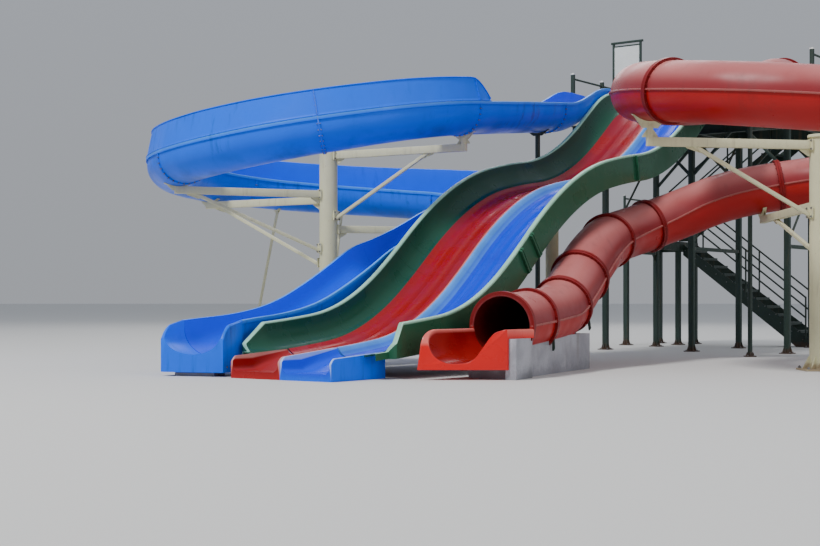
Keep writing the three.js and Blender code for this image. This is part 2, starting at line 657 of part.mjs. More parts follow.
// A side wall with its rim and skirt; rise is 1 along the slide and falls to the bed at the end
function wallSection(side, rise) {
  const { edge } = LANE;
  const base = LANE.half + GAP;
  const inner = [[base, edge], [1010, -388], [1090, -300], [1150, -170], [1185, -20], [1190, 0]];
  const skirt = [[1262, 0], [1270, -20], [1270, LANE_WALL.skirt], [1245, LANE_WALL.skirt], [1245, -40], [1215, -40]];
  const under = [[1178, -185], [1115, -320], [1025, -418], [base, edge - 34]];
  const wide = Math.min(1, 0.55 + 1.3 * rise);
  const lift = ([x, y]) => [side * (base + (x - base) * wide), y > edge ? edge + (y - edge) * rise : y];
  return [...inner, ...skirt, ...under].map(lift);
}

function racingSlide() {
  const riseAt = (d, nose) => {
    const back = RACE_TOP - d - nose;
    if (back >= 0) return Math.min(1, 0.35 + 0.65 * back / 420);
    return 0.05 + 0.3 * Math.sqrt(Math.max(0, 1 - (back / 40) ** 2));
  };
  const spans = [['upper', 0, RACE_JOINT], ['lower', RACE_JOINT + GAP, RACE_TOP]];
  for (const [level, from, to] of spans) {
    const bedStations = bedSpans[level];
    add(tower, `lane_red_${level}`, loft(raceLine, bedStations, () => laneSection(-1)), redShell);
    add(tower, `lane_blue_${level}`, loft(raceLine, bedStations, () => laneSection(1)), blueShell);
    for (const [hand, side, nose] of [['left', -1, 470], ['right', 1, 720]]) {
      const wallStations = stations(from, Math.min(to, RACE_TOP - nose - 600), 500);
      if (level === 'lower') wallStations.push(...[420, 210, 0, -15, -30, -40, -140].map((back) => RACE_TOP - nose - back));
      add(tower, `wall_${hand}_${level}`, loft(raceLine, wallStations, (d) => wallSection(side, riseAt(d, nose))), greenShell);
    }
  }
  add(tower, 'tray_red', laneTray(-1), redShell);
  add(tower, 'tray_blue', laneTray(1), blueShell);
}

function raceSupports() {
  const under = LANE.floor - LANE.shell - GAP;
  const head = outline([[-900, 0], [900, 0], [900, under - 60], [160, under - 170], [-160, under - 170], [-900, under - 60]]);
  const bed = [[-940, 50], [940, 50], [940, under], [-940, under]];
  for (const [name, level, distance, diameter] of [['upper', 'upper', 6020, 240], ['lower', 'lower', 9500, 240]]) {
    const { point, up } = raceLine.at(distance);
    const seat = point.clone().addScaledVector(up, under - 90);
    const body = fuse(
      sweep(head, raceLine, distance - 60, distance + 60, 120),
      pipe(vec(0, seat.y, 0), seat, diameter, 20),
      square(0, seat.y, diameter + 220, 0, 24),
    );
    add(tower, `race_mast_${name}`, cut(body, loft(raceLine, bedSpans[level], () => bed)), creamPaint);
  }
}

// Closed spiral: off the deck, round its mast and out to a tray
const TUBE_BEND = 2850;
const TUBE_MAST = [8100, -4750];
const TUBE_TOUCH = 146;
const TUBE_LEAD = 6480;
const tubeHeading = TUBE_TOUCH + 90;
const tubeStart = vec(
  TUBE_MAST[0] + TUBE_BEND * Math.cos(TUBE_TOUCH * DEG) - TUBE_LEAD * Math.cos(tubeHeading * DEG),
  TUBE_MAST[1] + TUBE_BEND * Math.sin(TUBE_TOUCH * DEG) - TUBE_LEAD * Math.sin(tubeHeading * DEG),
  DECK_TOP + GAP + TUBE.flange * Math.cos(Math.PI / TUBE.sides),
);
const tubeLine = new FlumeLine(tubeStart, tubeHeading, 0, [
  { run: LEVEL_START, slope: 0 },
  { run: 700, slope: 0.30 },
  { run: 800, slope: 0.25 },
  { run: 4860, slope: 0.06 },
  bend(TUBE_BEND, 58, 0.155),
  bend(TUBE_BEND, 66, 0.10),
  bend(TUBE_BEND, 90, 0.03),
  { run: 1400, slope: 0.03 },
  bend(TUBE_BEND, 50, 0.05),
  bend(TUBE_BEND, 40, 0.17),
  { run: 1100, slope: 0.42 },
  bend(1900, 31, 0.30),
  bend(1900, 34, 0.15),
  { run: 390, slope: 0.25 },
  { run: 1600, slope: 0.58 },
  { run: 900, slope: 0.45 },
  { run: 640, slope: 0.08 },
  { run: 2100, slope: 0.045 },
]);
const tubeBendAt = (degrees) => TUBE_LEAD + TUBE_BEND * degrees * DEG;
const TUBE_JOINTS = [0, 3240, tubeBendAt(2), tubeBendAt(58), tubeBendAt(124), tubeLine.mark(7) + 700,
  tubeLine.mark(10) - 450, tubeLine.mark(13) + 390, tubeLine.mark(15) + 900, tubeLine.length];
const TUBE_RINGS = [tubeBendAt(170), tubeLine.mark(8) + 2300, tubeLine.mark(12), tubeLine.mark(15),
  tubeLine.length - 1100];

const tubePieces = split(TUBE_JOINTS, 600, TUBE_RINGS);
tubePieces[0].flanges.push(0);
tubePieces.forEach((piece) => {
  piece.distances = flanged(piece.from, piece.to, 600, piece.flanges);
});

function closedTube() {
  const { outer, wall, flange, sides } = TUBE;
  tubePieces.forEach(({ from, to, distances, flanges }, i) => {
    const outside = loft(tubeLine, distances, (d) => ring(onFlange(d, flanges) ? flange : outer, sides));
    const bore = loft(tubeLine, stations(from - 5, to + 5, 600), () => ring(outer - wall, sides));
    add(assembly, `tube_${i + 1}`, cut(outside, bore), redShell);
  });
}

const tubeSeat = (from, to) => seatTools(tubeLine, tubePieces, from, to,
  (flange) => ring((flange ? TUBE.flange : TUBE.outer) + GAP, TUBE.sides));

// Open tray that the tube runs out into: a box with an upright front, hollowed by a channel that
// turns from the tube's bore to the low lip in the front
const PLINTH_TOP = 575;
const TRAY = { front: -7450, left: 1670, right: 2930, foot: 140, top: 705 };
const mouth = tubeLine.at(tubeLine.length);
const TRAY_LIP = [[2950, 1600], [2920, 708], [2740, 650], [2590, 460], [2470, 300], [2330, 235], [2080, 235],
  [1900, 340], [1820, 520], [1785, 640], [1770, 1600]];

const beside = (x, ahead, z) => mouth.point.clone().addScaledVector(mouth.left, x)
  .addScaledVector(mouth.ahead.clone().setZ(0).normalize(), ahead).setZ(z);

// The tray's outside: wider above the plinth than beside it
function trayBlock(grow) {
  const level = (side, foot, top) => {
    const [left, right] = [beside(-500 - grow, GAP - grow, 0), beside(side + grow, GAP - grow, 0)];
    const plan = outline([[TRAY.left - grow, TRAY.front - grow], [TRAY.right + grow, TRAY.front - grow],
      [right.x, right.y], [left.x, left.y]]);
    const block = new THREE.ExtrudeGeometry(plan, { depth: top - foot, bevelEnabled: false });
    return block.translate(0, 0, foot);
  };
  return fuse(level(420, TRAY.foot - grow, TRAY.top + grow), level(500, PLINTH_TOP + GAP - grow, TRAY.top + grow));
}

function exitTray() {
  const bore = TUBE.outer - TUBE.wall;
  const round = Array.from({ length: 9 }, (_, i) => {
    const angle = -Math.PI * i / 8;
    return [bore * Math.cos(angle), bore * Math.sin(angle)];
  });
  const start = [[bore, 900], ...round, [-bore, 900]];
  const rows = [-0.1, 0, 0.3, 0.65, 1, 1.1].map((part) => start.map(([x, y], i) => {
    const from = beside(x, 0, mouth.point.z + y);
    const to = vec(TRAY_LIP[i][0], TRAY.front, TRAY_LIP[i][1]);
    return from.lerp(to, part);
  }));
  const cap = start.map(([x, y]) => new THREE.Vector2(x, y));
  const flip = THREE.ShapeUtils.area(cap) < 0;
  if (flip) [cap, ...rows].forEach((row) => row.reverse());
  const channel = skin(rows, [cap, cap]);
  const nose = pipe(vec(TRAY.left - 200, TRAY.front + 230, TRAY.top - 230), vec(TRAY.left + 400, TRAY.front + 230, TRAY.top - 230), 460, 32);
  const corner = box(TRAY.left - 100, TRAY.front - 100, TRAY.top - 230, TRAY.left + 300, TRAY.front + 230, TRAY.top + 100);
  add(assembly, 'tube_exit_tray', cut(trayBlock(0), channel, cut(corner, nose)), redShell);
}

// Concrete plinth that the tube's foot and its tray lie in
function plinth() {
  const corner = (x, ahead) => {
    const { x: px, y: py } = beside(x, ahead, 0);
    return [px, py];
  };
  const plan = outline([corner(-330, 450), corner(300, 450), corner(300, 620), corner(460, 620), corner(460, -40),
    corner(350, -40), corner(350, -3080), corner(-330, -3080)]);
  const block = new THREE.ExtrudeGeometry(plan, { depth: PLINTH_TOP, bevelEnabled: false });
  const end = tubeLine.length;
  const rim = loft(tubeLine, [end - 20, end + 30], () => ring(TUBE.flange + GAP, TUBE.sides));
  add(assembly, 'tube_plinth', cut(block, ...tubeSeat(end - 3400, end), rim, trayBlock(GAP)), concrete);
}

function tubeSupports() {
  const [x, y] = TUBE_MAST;
  const sole = -(TUBE.outer + 110);
  add(assembly, 'tube_mast', mast(x, y, 3720), creamPaint);
  const arms = [
    ['left', tubeBendAt(46), 2470, 3580], ['right', tubeLine.mark(7) + 200, 1900, 2900],
    ['back', tubeLine.mark(10) - 60, 1850, 2640],
  ];
  for (const [name, distance, low, level] of arms) {
    const seat = tubeSeat(distance, distance);
    add(assembly, `tube_arm_${name}`, arm({ x, y, line: tubeLine, distance, wide: 300, sole, top: -250, seat, low, level }), creamPaint);
  }
  const seat = tubeSeat(2050, 2050);
  leg('tube_post_deck', { line: tubeLine, distance: 2050, wide: 260, sole: sole + 40, top: -250, seat, diameter: 90, material: greenPaint });
}

startDeck();
railings();
stairs();
noticeBoard();
openFlume();
openExit();
splashGuard('splash_guard_front', openBendAt(-2), openBendAt(120), 420, 0);
splashGuard('splash_guard_back', openBendAt(120) + GAP, openLine.mark(13) + 900, 0, 500);
openSupports();
racingSlide();
raceSupports();
closedTube();
exitTray();
plinth();
tubeSupports();

export default assembly;
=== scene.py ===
"""Dresses the water slide tower: gelcoat flumes, closed tube, racing lanes, steel and stage."""
import json
import math

import bmesh
import bpy
from bpy.props import FloatProperty, FloatVectorProperty, IntProperty, PointerProperty
from bpy.types import Operator, Panel, PropertyGroup
from mathutils import Matrix, Vector

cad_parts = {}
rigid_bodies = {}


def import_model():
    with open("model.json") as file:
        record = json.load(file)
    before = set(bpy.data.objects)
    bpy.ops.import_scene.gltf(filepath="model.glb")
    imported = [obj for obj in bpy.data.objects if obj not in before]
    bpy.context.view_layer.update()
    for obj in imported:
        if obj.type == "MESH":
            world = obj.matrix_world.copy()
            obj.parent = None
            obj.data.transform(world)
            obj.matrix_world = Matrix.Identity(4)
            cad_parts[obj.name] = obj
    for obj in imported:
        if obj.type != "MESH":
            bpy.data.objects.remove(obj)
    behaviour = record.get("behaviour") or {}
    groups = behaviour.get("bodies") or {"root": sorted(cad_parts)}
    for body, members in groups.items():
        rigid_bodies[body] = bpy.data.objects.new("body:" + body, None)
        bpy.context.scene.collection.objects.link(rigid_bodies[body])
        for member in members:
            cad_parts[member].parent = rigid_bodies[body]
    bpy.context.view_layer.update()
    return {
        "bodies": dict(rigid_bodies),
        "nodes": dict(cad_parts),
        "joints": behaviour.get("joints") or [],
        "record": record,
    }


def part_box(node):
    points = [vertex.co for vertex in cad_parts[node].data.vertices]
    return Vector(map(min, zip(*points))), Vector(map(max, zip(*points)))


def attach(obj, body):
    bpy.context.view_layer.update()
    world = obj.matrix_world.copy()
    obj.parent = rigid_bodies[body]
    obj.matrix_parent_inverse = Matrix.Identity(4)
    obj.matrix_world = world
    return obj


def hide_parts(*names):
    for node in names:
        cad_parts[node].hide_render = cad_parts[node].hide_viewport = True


bl_info = {
    "name": "Water slide tower",
    "version": (1, 0, 0),
    "blender": (4, 5, 0),
    "location": "3D View > Sidebar > Water Slide",
    "description": "Builds the finishes and fittings of a water slide tower",
    "category": "Object",
}

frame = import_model()

GAP = 0.0003                    # clearance between neighbouring solids
DECK_TOP = 5.15
EXIT_FOOT = 0.06                # clear height below the open flume's last piece
SLIDE_HEADING = -36             # the deck's and the racing slide's turn about Z, in degrees
TOWER = Matrix.Translation((-0.180, -7.321, 0)) @ Matrix.Rotation(math.radians(SLIDE_HEADING), 4, "Z")
UP = Vector((0, 0, 1))
CORNERS = ((-1, -1), (-1, 1), (1, -1), (1, 1))


def srgb(red, green, blue):
    """A linear colour from eight-bit display values."""
    def linear(value):
        value /= 255
        return value / 12.92 if value <= 0.04045 else ((value + 0.055) / 1.055) ** 2.4
    return (linear(red), linear(green), linear(blue), 1.0)


def colour(name, value, description):
    return FloatVectorProperty(name=name, description=description, subtype="COLOR", size=4,
                               min=0, max=1, default=value)


def length(name, value, description):
    return FloatProperty(name=name, description=description, default=value, unit="LENGTH", subtype="DISTANCE")


class FlumeSizes(PropertyGroup):
    """Sizes of the open flume and of the closed tube."""
    half: length("Half width", 0.46, "Half of the flume's clear width at its rim")
    depth: length("Depth", 0.55, "Depth of the flume below its rim")
    straight: length("Straight side", 0.13, "Upright part of the flume's side below the rim")
    wall: length("Wall", 0.028, "Thickness of the flume's laminate")
    lip: length("Lip", 0.05, "Width of the rim turned outwards")
    hem: length("Hem", 0.06, "Depth of the rim's edge turned down")
    fin: length("Fin", 0.021, "How far a joint's flange stands out")
    guard: length("Guard height", 0.43, "Height of the splash guard over the rim at its start")
    guard_growth: length("Guard growth", 0.075, "How much higher the guard stands along the outer bend")
    tube: length("Tube radius", 0.46, "Outer radius of the closed tube")
    tube_wall: length("Tube wall", 0.028, "Thickness of the tube's laminate")
    tube_ring: length("Ring radius", 0.505, "Outer radius of the tube's joint rings")
    seam: length("Seam", 0.026, "How far the seam between the tube's halves stands out")
    step: length("Station spacing", 0.15, "Spacing of the stations along a slide")


class SteelSizes(PropertyGroup):
    """Sizes of the steelwork and its fasteners."""
    mast: length("Mast diameter", 0.35, "Diameter of the two large masts")
    plate: length("Base plate", 0.62, "Side of a large mast's base plate")
    rail: length("Rail diameter", 0.048, "Diameter of the deck's rails")
    rail_sides: IntProperty(name="Rail sides", description="Sides of a rail's outline", default=14, min=6, max=32)


class FinishColours(PropertyGroup):
    """Colours of the slide's finishes."""
    blue: colour("Blue gelcoat", srgb(0, 104, 252), "Blue flume, splash guard and lane")
    red: colour("Red gelcoat", srgb(168, 20, 20), "Red lane and the tube's lower half")
    faded_red: colour("Faded red", srgb(142, 46, 50), "Upper half of the tube, faded by the sun")
    green: colour("Green gelcoat", srgb(6, 64, 48), "Side walls of the racing slide")
    cream: colour("Cream paint", srgb(214, 211, 172), "Masts and arms")
    post: colour("Dark green paint", srgb(30, 52, 44), "Start tower, stairs and rails")
    concrete: colour("Concrete", srgb(172, 172, 180), "Plinth and feet")
    board: colour("Board", srgb(222, 226, 222), "Notice board's panel")


class FlumeLine:
    """A slide's line in metres: stretches of run, turn in degrees and slope at the end."""

    def __init__(self, start, heading, stretches):
        self.stretches = []
        x, y, z = start
        heading, slope, reach = math.radians(heading), 0, 0.0
        for run, turn, end in stretches:
            entry = (x, y, z, heading, slope, reach, run, math.radians(turn), (end - slope) / run)
            self.stretches.append(entry)
            x, y, z, heading, slope = self.step(entry, run)
            slope = end
            reach += run
        self.length = reach

    @staticmethod
    def step(entry, run):
        x, y, z, heading, slope, _, whole, turn, change = entry
        ahead = heading + turn * run / whole
        turned = ahead - heading
        if abs(turned) < 1e-12:
            dx, dy = run * math.cos(ahead), run * math.sin(ahead)
        else:
            radius = run / turned
            dx = radius * (math.sin(ahead) - math.sin(heading))
            dy = radius * (math.cos(heading) - math.cos(ahead))
        end = slope + change * run
        return x + dx, y + dy, z - run * (slope + end) / 2, ahead, end

    def at(self, distance):
        """Point, direction, level left and square up at a distance along the plan."""
        entry = self.stretches[0]
        for candidate in self.stretches:
            if distance >= candidate[5]:
                entry = candidate
        x, y, z, heading, slope = self.step(entry, distance - entry[5])
        ahead = Vector((math.cos(heading), math.sin(heading), -slope)).normalized()
        left = Vector((-math.sin(heading), math.cos(heading), 0))
        return Vector((x, y, z)), ahead, left, ahead.cross(left)

    def mark(self, index):
        return self.stretches[index][5] if index < len(self.stretches) else self.length

    def place(self, distance, x, y):
        point, _, left, up = self.at(distance)
        return point + left * x + up * y


def bend(radius, turn, slope):
    return (radius * math.radians(abs(turn)), turn, slope)


# The three slides' lines
OPEN_BEND = 2.95
OPEN_TOUCH = -29.8              # where the lead-in meets the bend, round the mast
OPEN_LEAD = 7.04
OPEN_HEADING = OPEN_TOUCH - 90


def on_touch(centre, radius, touch, lead, heading, z):
    """The start of a lead-in that meets a bend round a centre."""
    touch, heading = math.radians(touch), math.radians(heading)
    return (centre[0] + radius * math.cos(touch) - lead * math.cos(heading),
            centre[1] + radius * math.sin(touch) - lead * math.sin(heading), z)


open_line = FlumeLine(
    on_touch((0, 0), OPEN_BEND, OPEN_TOUCH, OPEN_LEAD, OPEN_HEADING, DECK_TOP + 2 * GAP + 0.578),
    OPEN_HEADING, [
        (0.12, 0, 0), (1.08, 0, 0.05), (0.8, 0, 0.38), (0.6, 0, 0.36), (0.7, 0, 0.11), (3.74, 0, 0.12),
        bend(OPEN_BEND, -40.6, 0.185), bend(OPEN_BEND, -45, 0.15), bend(OPEN_BEND, -45, 0.03),
        bend(OPEN_BEND, -50, 0.045), bend(OPEN_BEND, -50, 0.06), bend(OPEN_BEND, -50.4, 0.09),
        (0.53, 0, 0.10), bend(1.6, -85.7, 0.20), (0.9, 0, 0.42), (0.9, 0, 0.34), (0.7, 0, 0.26), (0.6, 0, 0.56),
        (1.3, 0, 0.42), (0.9, 0, 0.18), (0.8, 0, 0.08), bend(2.5, 18, 0.06), (0.65, 0, 0.30),
    ])


def open_bend_at(degrees):
    return OPEN_LEAD + OPEN_BEND * math.radians(degrees)


OPEN_JOINTS = [0, 3.55, open_bend_at(5), open_bend_at(60), open_bend_at(120), open_bend_at(200),
               open_line.mark(13), open_line.mark(14) + 2.45, open_line.mark(20) + 0.3, open_line.mark(22)]

RACE_TOP = 13.3
RACE_JOINT = 6.6
LANE_END = 1.1                  # where the lanes run out into their trays
LANE_TRAY = 1.22                # length of those trays
race_start = TOWER @ Vector((0, RACE_TOP, DECK_TOP + GAP + 0.55))
race_line = FlumeLine(race_start, SLIDE_HEADING - 90, [
    (0.12, 0, 0), (1.18, 0, 0.22), (0.8, 0, 0.75), (0.6, 0, 0.72), (2.2, 0, 0.13), (1.2, 0, 0.22),
    (2.7, 0, 0.82), (0.7, 0, 0.72), (1.8, 0, 0.12), (2.0, 0, 0.04),
])

TUBE_BEND = 2.85
TUBE_MAST = (8.1, -4.75)
TUBE_TOUCH = 146
TUBE_LEAD = 6.48
tube_line = FlumeLine(
    on_touch(TUBE_MAST, TUBE_BEND, TUBE_TOUCH, TUBE_LEAD, TUBE_TOUCH + 90,
             DECK_TOP + GAP + 0.515 * math.cos(math.pi / 16)),
    TUBE_TOUCH + 90, [
        (0.12, 0, 0), (0.7, 0, 0.30), (0.8, 0, 0.25), (4.86, 0, 0.06), bend(TUBE_BEND, 58, 0.155),
        bend(TUBE_BEND, 66, 0.10), bend(TUBE_BEND, 90, 0.03), (1.4, 0, 0.03), bend(TUBE_BEND, 50, 0.05),
        bend(TUBE_BEND, 40, 0.17), (1.1, 0, 0.42), bend(1.9, 31, 0.30), bend(1.9, 34, 0.15),
        (0.39, 0, 0.25), (1.6, 0, 0.58), (0.9, 0, 0.45), (0.64, 0, 0.08), (2.1, 0, 0.045),
    ])


def tube_bend_at(degrees):
    return TUBE_LEAD + TUBE_BEND * math.radians(degrees)


TUBE_JOINTS = [0, 3.24, tube_bend_at(2), tube_bend_at(58), tube_bend_at(124), tube_line.mark(7) + 0.7,
               tube_line.mark(10) - 0.45, tube_line.mark(13) + 0.39, tube_line.mark(15) + 0.9, tube_line.length]
TUBE_RINGS = [tube_bend_at(170), tube_line.mark(8) + 2.3, tube_line.mark(12), tube_line.mark(15),
              tube_line.length - 1.1]


# Node trees
class Graph:
    """Adds nodes to a tree and joins them."""

    def __init__(self, tree):
        self.tree = tree

    def add(self, kind, inputs=None, **settings):
        node = self.tree.nodes.new(kind)
        for key, value in settings.items():
            setattr(node, key, value)
        for key, value in (inputs or {}).items():
            socket = node.inputs[key]
            if isinstance(value, bpy.types.NodeSocket):
                self.tree.links.new(value, socket)
            else:
                socket.default_value = value
        return node

    def maths(self, operation, first, second, clamp=False):
        return self.add("ShaderNodeMath", {0: first, 1: second}, operation=operation, use_clamp=clamp).outputs[0]

    def link(self, output, target):
        self.tree.links.new(output, target)


def node_tree(name, kind, inputs, outputs):
    """A new tree with named inputs and outputs: (graph, input node, output node)."""
    tree = bpy.data.node_groups.new(name, kind)
    for side, sockets in (("INPUT", inputs), ("OUTPUT", outputs)):
        for label, socket_kind, default in sockets:
            socket = tree.interface.new_socket(label, in_out=side, socket_type="NodeSocket" + socket_kind)
            if default is not None:
                socket.default_value = default
    graph = Graph(tree)
    return graph, graph.add("NodeGroupInput"), graph.add("NodeGroupOutput")


def open_tree(name, *inputs):
    """A geometry tree with a mesh, its own inputs and a material."""
    shape = ("Geometry", "Geometry", None)
    return node_tree(name, "GeometryNodeTree", [shape, *inputs, ("Material", "Material", None)], [shape])


def close_tree(graph, entry, out, geometry):
    """Gives a tree's geometry its material and puts it out."""
    real = graph.add("GeometryNodeRealizeInstances", {"Geometry": geometry})
    painted = graph.add("GeometryNodeSetMaterial", {"Geometry": real.outputs[0], "Material": entry.outputs["Material"]})
    graph.link(painted.outputs[0], out.inputs[0])
    return graph.tree


def swept_curve(graph, line, profile, caps=True):
    return graph.add("GeometryNodeCurveToMesh", {"Curve": line.outputs[0], "Profile Curve": profile.outputs[0],
                                                 "Fill Caps": caps}).outputs[0]


def section_tree():
    """Sweeps a section along a level-sided line, its ends closed."""
    graph, entry, out = open_tree("Section along line", ("Section", "Object", None))
    line = graph.add("GeometryNodeMeshToCurve", {"Mesh": entry.outputs["Geometry"]})
    level = graph.add("GeometryNodeSetCurveNormal", {"Curve": line.outputs[0]}, mode="Z_UP")
    picked = graph.add("GeometryNodeObjectInfo", {"Object": entry.outputs["Section"]})
    section = graph.add("GeometryNodeMeshToCurve", {"Mesh": picked.outputs["Geometry"]})
    return close_tree(graph, entry, out, swept_curve(graph, level, section))


def pipe_tree():
    """Round pipes along lines."""
    graph, entry, out = open_tree("Pipes along lines", ("Radius", "Float", 0.02), ("Sides", "Int", 12))
    line = graph.add("GeometryNodeMeshToCurve", {"Mesh": entry.outputs["Geometry"]})
    circle = graph.add("GeometryNodeCurvePrimitiveCircle", {"Resolution": entry.outputs["Sides"],
                                                            "Radius": entry.outputs["Radius"]})
    return close_tree(graph, entry, out, swept_curve(graph, line, circle))


def aimed(graph, entry, instance):
    aim = graph.add("GeometryNodeInputNamedAttribute", {"Name": "aim"}, data_type="FLOAT_VECTOR")
    turn = graph.add("FunctionNodeAlignRotationToVector", {"Vector": aim.outputs[0]}, axis="Z")
    return graph.add("GeometryNodeInstanceOnPoints", {"Points": entry.outputs["Geometry"], "Instance": instance,
                                                      "Rotation": turn.outputs[0]}).outputs[0]


def bolt_tree():
    """A washer, a hexagon head and a shank on every point, along its aim."""
    graph, entry, out = open_tree("Bolt heads", ("Width", "Float", 0.022))
    def scaled(factor):
        return graph.maths("MULTIPLY", entry.outputs["Width"], factor)
    joined = graph.add("GeometryNodeJoinGeometry")
    for sides, radius, deep, lift in ((12, 0.85, 0.14, 0.07), (6, 0.57, 0.5, 0.4), (8, 0.3, 0.3, 0.8)):
        mesh = graph.add("GeometryNodeMeshCylinder",
                         {"Vertices": sides, "Radius": scaled(radius), "Depth": scaled(deep)})
        up = graph.add("ShaderNodeCombineXYZ", {"Z": scaled(lift)})
        placed = graph.add("GeometryNodeTransform", {"Geometry": mesh.outputs[0], "Translation": up.outputs[0]})
        graph.link(placed.outputs[0], joined.inputs[0])
    return close_tree(graph, entry, out, aimed(graph, entry, joined.outputs[0]))


def ring_tree():
    """A flat ring with eased edges on every point, square to its aim."""
    graph, entry, out = open_tree("Joint rings", ("Inner", "Float", 0.44), ("Outer", "Float", 0.515),
                                  ("Thickness", "Float", 0.014), ("Sides", "Int", 56))
    inner, outer = entry.outputs["Inner"], entry.outputs["Outer"]
    middle = graph.maths("MULTIPLY", graph.maths("ADD", outer, inner), 0.5)
    circle = graph.add("GeometryNodeCurvePrimitiveCircle", {"Resolution": entry.outputs["Sides"], "Radius": middle})
    edge = graph.add("GeometryNodeCurvePrimitiveQuadrilateral", {"Width": graph.maths("SUBTRACT", outer, inner),
                                                                 "Height": entry.outputs["Thickness"]})
    eased = graph.add("GeometryNodeFilletCurve", {"Curve": edge.outputs[0], "Radius": 0.003}, mode="POLY")
    return close_tree(graph, entry, out, aimed(graph, entry, swept_curve(graph, circle, eased, False)))


def tread_tree():
    """A stair plate on every point, square to the tower."""
    graph, entry, out = open_tree("Stair treads", ("Size", "Vector", (0.265, 0.86, 0.04)))
    cube = graph.add("GeometryNodeMeshCube", {"Size": entry.outputs["Size"]})
    placed = graph.add("GeometryNodeInstanceOnPoints", {"Points": entry.outputs["Geometry"],
                                                        "Instance": cube.outputs[0],
                                                        "Rotation": (0, 0, math.radians(SLIDE_HEADING))})
    return close_tree(graph, entry, out, placed.outputs[0])


def put(name, data):
    """An object in the scene for a mesh, a light or a camera."""
    piece = bpy.data.objects.new(name, data)
    bpy.context.scene.collection.objects.link(piece)
    return piece


def grow(tree, name, mesh, **inputs):
    """Runs a tree on a mesh and keeps the result as a plain mesh."""
    piece = put(name, mesh)
    modifier = piece.modifiers.new("Build", "NODES")
    modifier.node_group = tree
    for item in tree.interface.items_tree:
        if item.item_type == "SOCKET" and item.in_out == "INPUT" and item.name in inputs:
            modifier[item.identifier] = inputs[item.name]
    graph = bpy.context.evaluated_depsgraph_get()
    made = bpy.data.meshes.new_from_object(piece.evaluated_get(graph), preserve_all_data_layers=True, depsgraph=graph)
    piece.modifiers.remove(modifier)
    piece.data = made
    made.name = name
    return piece


def tree(name, make):
    return bpy.data.node_groups.get(name) or make()


# Meshes
def axes(origin, x, y, z):
    """The frame with three axes at an origin."""
    frame = Matrix((x, y, z)).transposed().to_4x4()
    frame.translation = origin
    return frame


def closed_skin(bm, rows):
    """Joins rows of equal point counts into one closed body with flat ends."""
    rings = [[bm.verts.new(p) for p in row] for row in rows]
    for a, b in zip(rings, rings[1:]):
        for i, corner in enumerate(a):
            j = (i + 1) % len(a)
            bm.faces.new((corner, a[j], b[j], b[i]))
    bm.faces.new(list(reversed(rings[0])))
    bm.faces.new(rings[-1])
    return rings


def loft(bm, line, distances, section_at):
    return closed_skin(bm, [[line.place(d, x, y) for x, y in section_at(d)] for d in distances])


def spread(start, end, step):
    count = max(1, round((end - start) / step))
    return [start + (end - start) * i / count for i in range(count + 1)]


def line_stations(line, start, end, step):
    """Even stations, every place where the slope changes, and a short stretch at each end for a true end face."""
    marks = [line.mark(i) for i in range(len(line.stretches))]
    inside = [m for m in marks if start + 0.02 < m < end - 0.02]
    even = [d for d in spread(start, end, step) if all(abs(d - m) > step / 3 for m in inside)]
    return sorted(set(even + inside + [start, start + 0.003, end - 0.003, end]))


def section_object(name, points, inner, rim):
    """A section as a closed outline for the sweep, its inner side and its rims marked."""
    mesh = bpy.data.meshes.new(name)
    count = len(points)
    mesh.from_pydata([(-x, -y, 0) for x, y in points], [(i, (i + 1) % count) for i in range(count)], [])
    for label, values in (("inner", inner), ("rim", rim)):
        mesh.attributes.new(label, "FLOAT", "POINT").data.foreach_set("value", values)
    return put(name, mesh)


def mark_rows(piece, count, body, **marks):
    """Marks the points of a lofted body, the first in the piece, by their place in its outline of so many."""
    for label, places in marks.items():
        mark = piece.data.attributes.new(label, "FLOAT", "POINT")
        mark.data.foreach_set("value", [1.0 if i < body and i % count in places else 0.0
                                        for i in range(len(piece.data.vertices))])


def outward(piece, angle=38):
    """Turns every face outwards, shades it smooth and keeps its sharp edges."""
    bm = bmesh.new()
    bm.from_mesh(piece.data)
    bmesh.ops.recalc_face_normals(bm, faces=bm.faces)
    bm.to_mesh(piece.data)
    bm.free()
    piece.data.shade_smooth()
    piece.data.set_sharp_from_angle(angle=math.radians(angle))


def to_piece(name, bm, material):
    """A bmesh as an object in one material."""
    mesh = bpy.data.meshes.new(name)
    bm.to_mesh(mesh)
    bm.free()
    mesh.materials.append(material)
    return put(name, mesh)


def join(name, pieces):
    """Joins plain meshes into one piece."""
    pieces = [p for p in pieces if p is not None and len(p.data.vertices)]
    with bpy.context.temp_override(active_object=pieces[0], selected_editable_objects=pieces, object=pieces[0],
                                   selected_objects=pieces):
        bpy.ops.object.join()
    pieces[0].name = name
    pieces[0].data.name = name
    return pieces[0]


def settle(piece, slot, *nodes, angle=38):
    """A finished piece rides on the tower and stands for its solids."""
    outward(piece, angle)
    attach(piece, "root")
    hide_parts(*nodes)


def drop(*pieces):
    for piece in pieces:
        bpy.data.objects.remove(piece)


def aim_mesh(name, spots):
    """Points that carry the way they face."""
    mesh = bpy.data.meshes.new(name)
    mesh.from_pydata([tuple(at) for at, _ in spots], [], [])
    aims = mesh.attributes.new("aim", "FLOAT_VECTOR", "POINT")
    aims.data.foreach_set("vector", [c for _, aim in spots for c in aim])
    return mesh


def bolts(name, spots, width, material):
    if not spots:
        return None
    return grow(tree("Bolt heads", bolt_tree), name, aim_mesh(name, spots), Width=width, Material=material)


def rings(name, spots, inner, outer, thickness, material):
    return grow(tree("Joint rings", ring_tree), name, aim_mesh(name, spots), Inner=inner, Outer=outer,
                Thickness=thickness, Sides=56, Material=material)


def lines_mesh(name, lines):
    """A mesh of open lines, each a list of points."""
    mesh = bpy.data.meshes.new(name)
    points, edges = [], []
    for line in lines:
        edges += [(len(points) + i, len(points) + i + 1) for i in range(len(line) - 1)]
        points += [tuple(p) for p in line]
    mesh.from_pydata(points, edges, [])
    return mesh


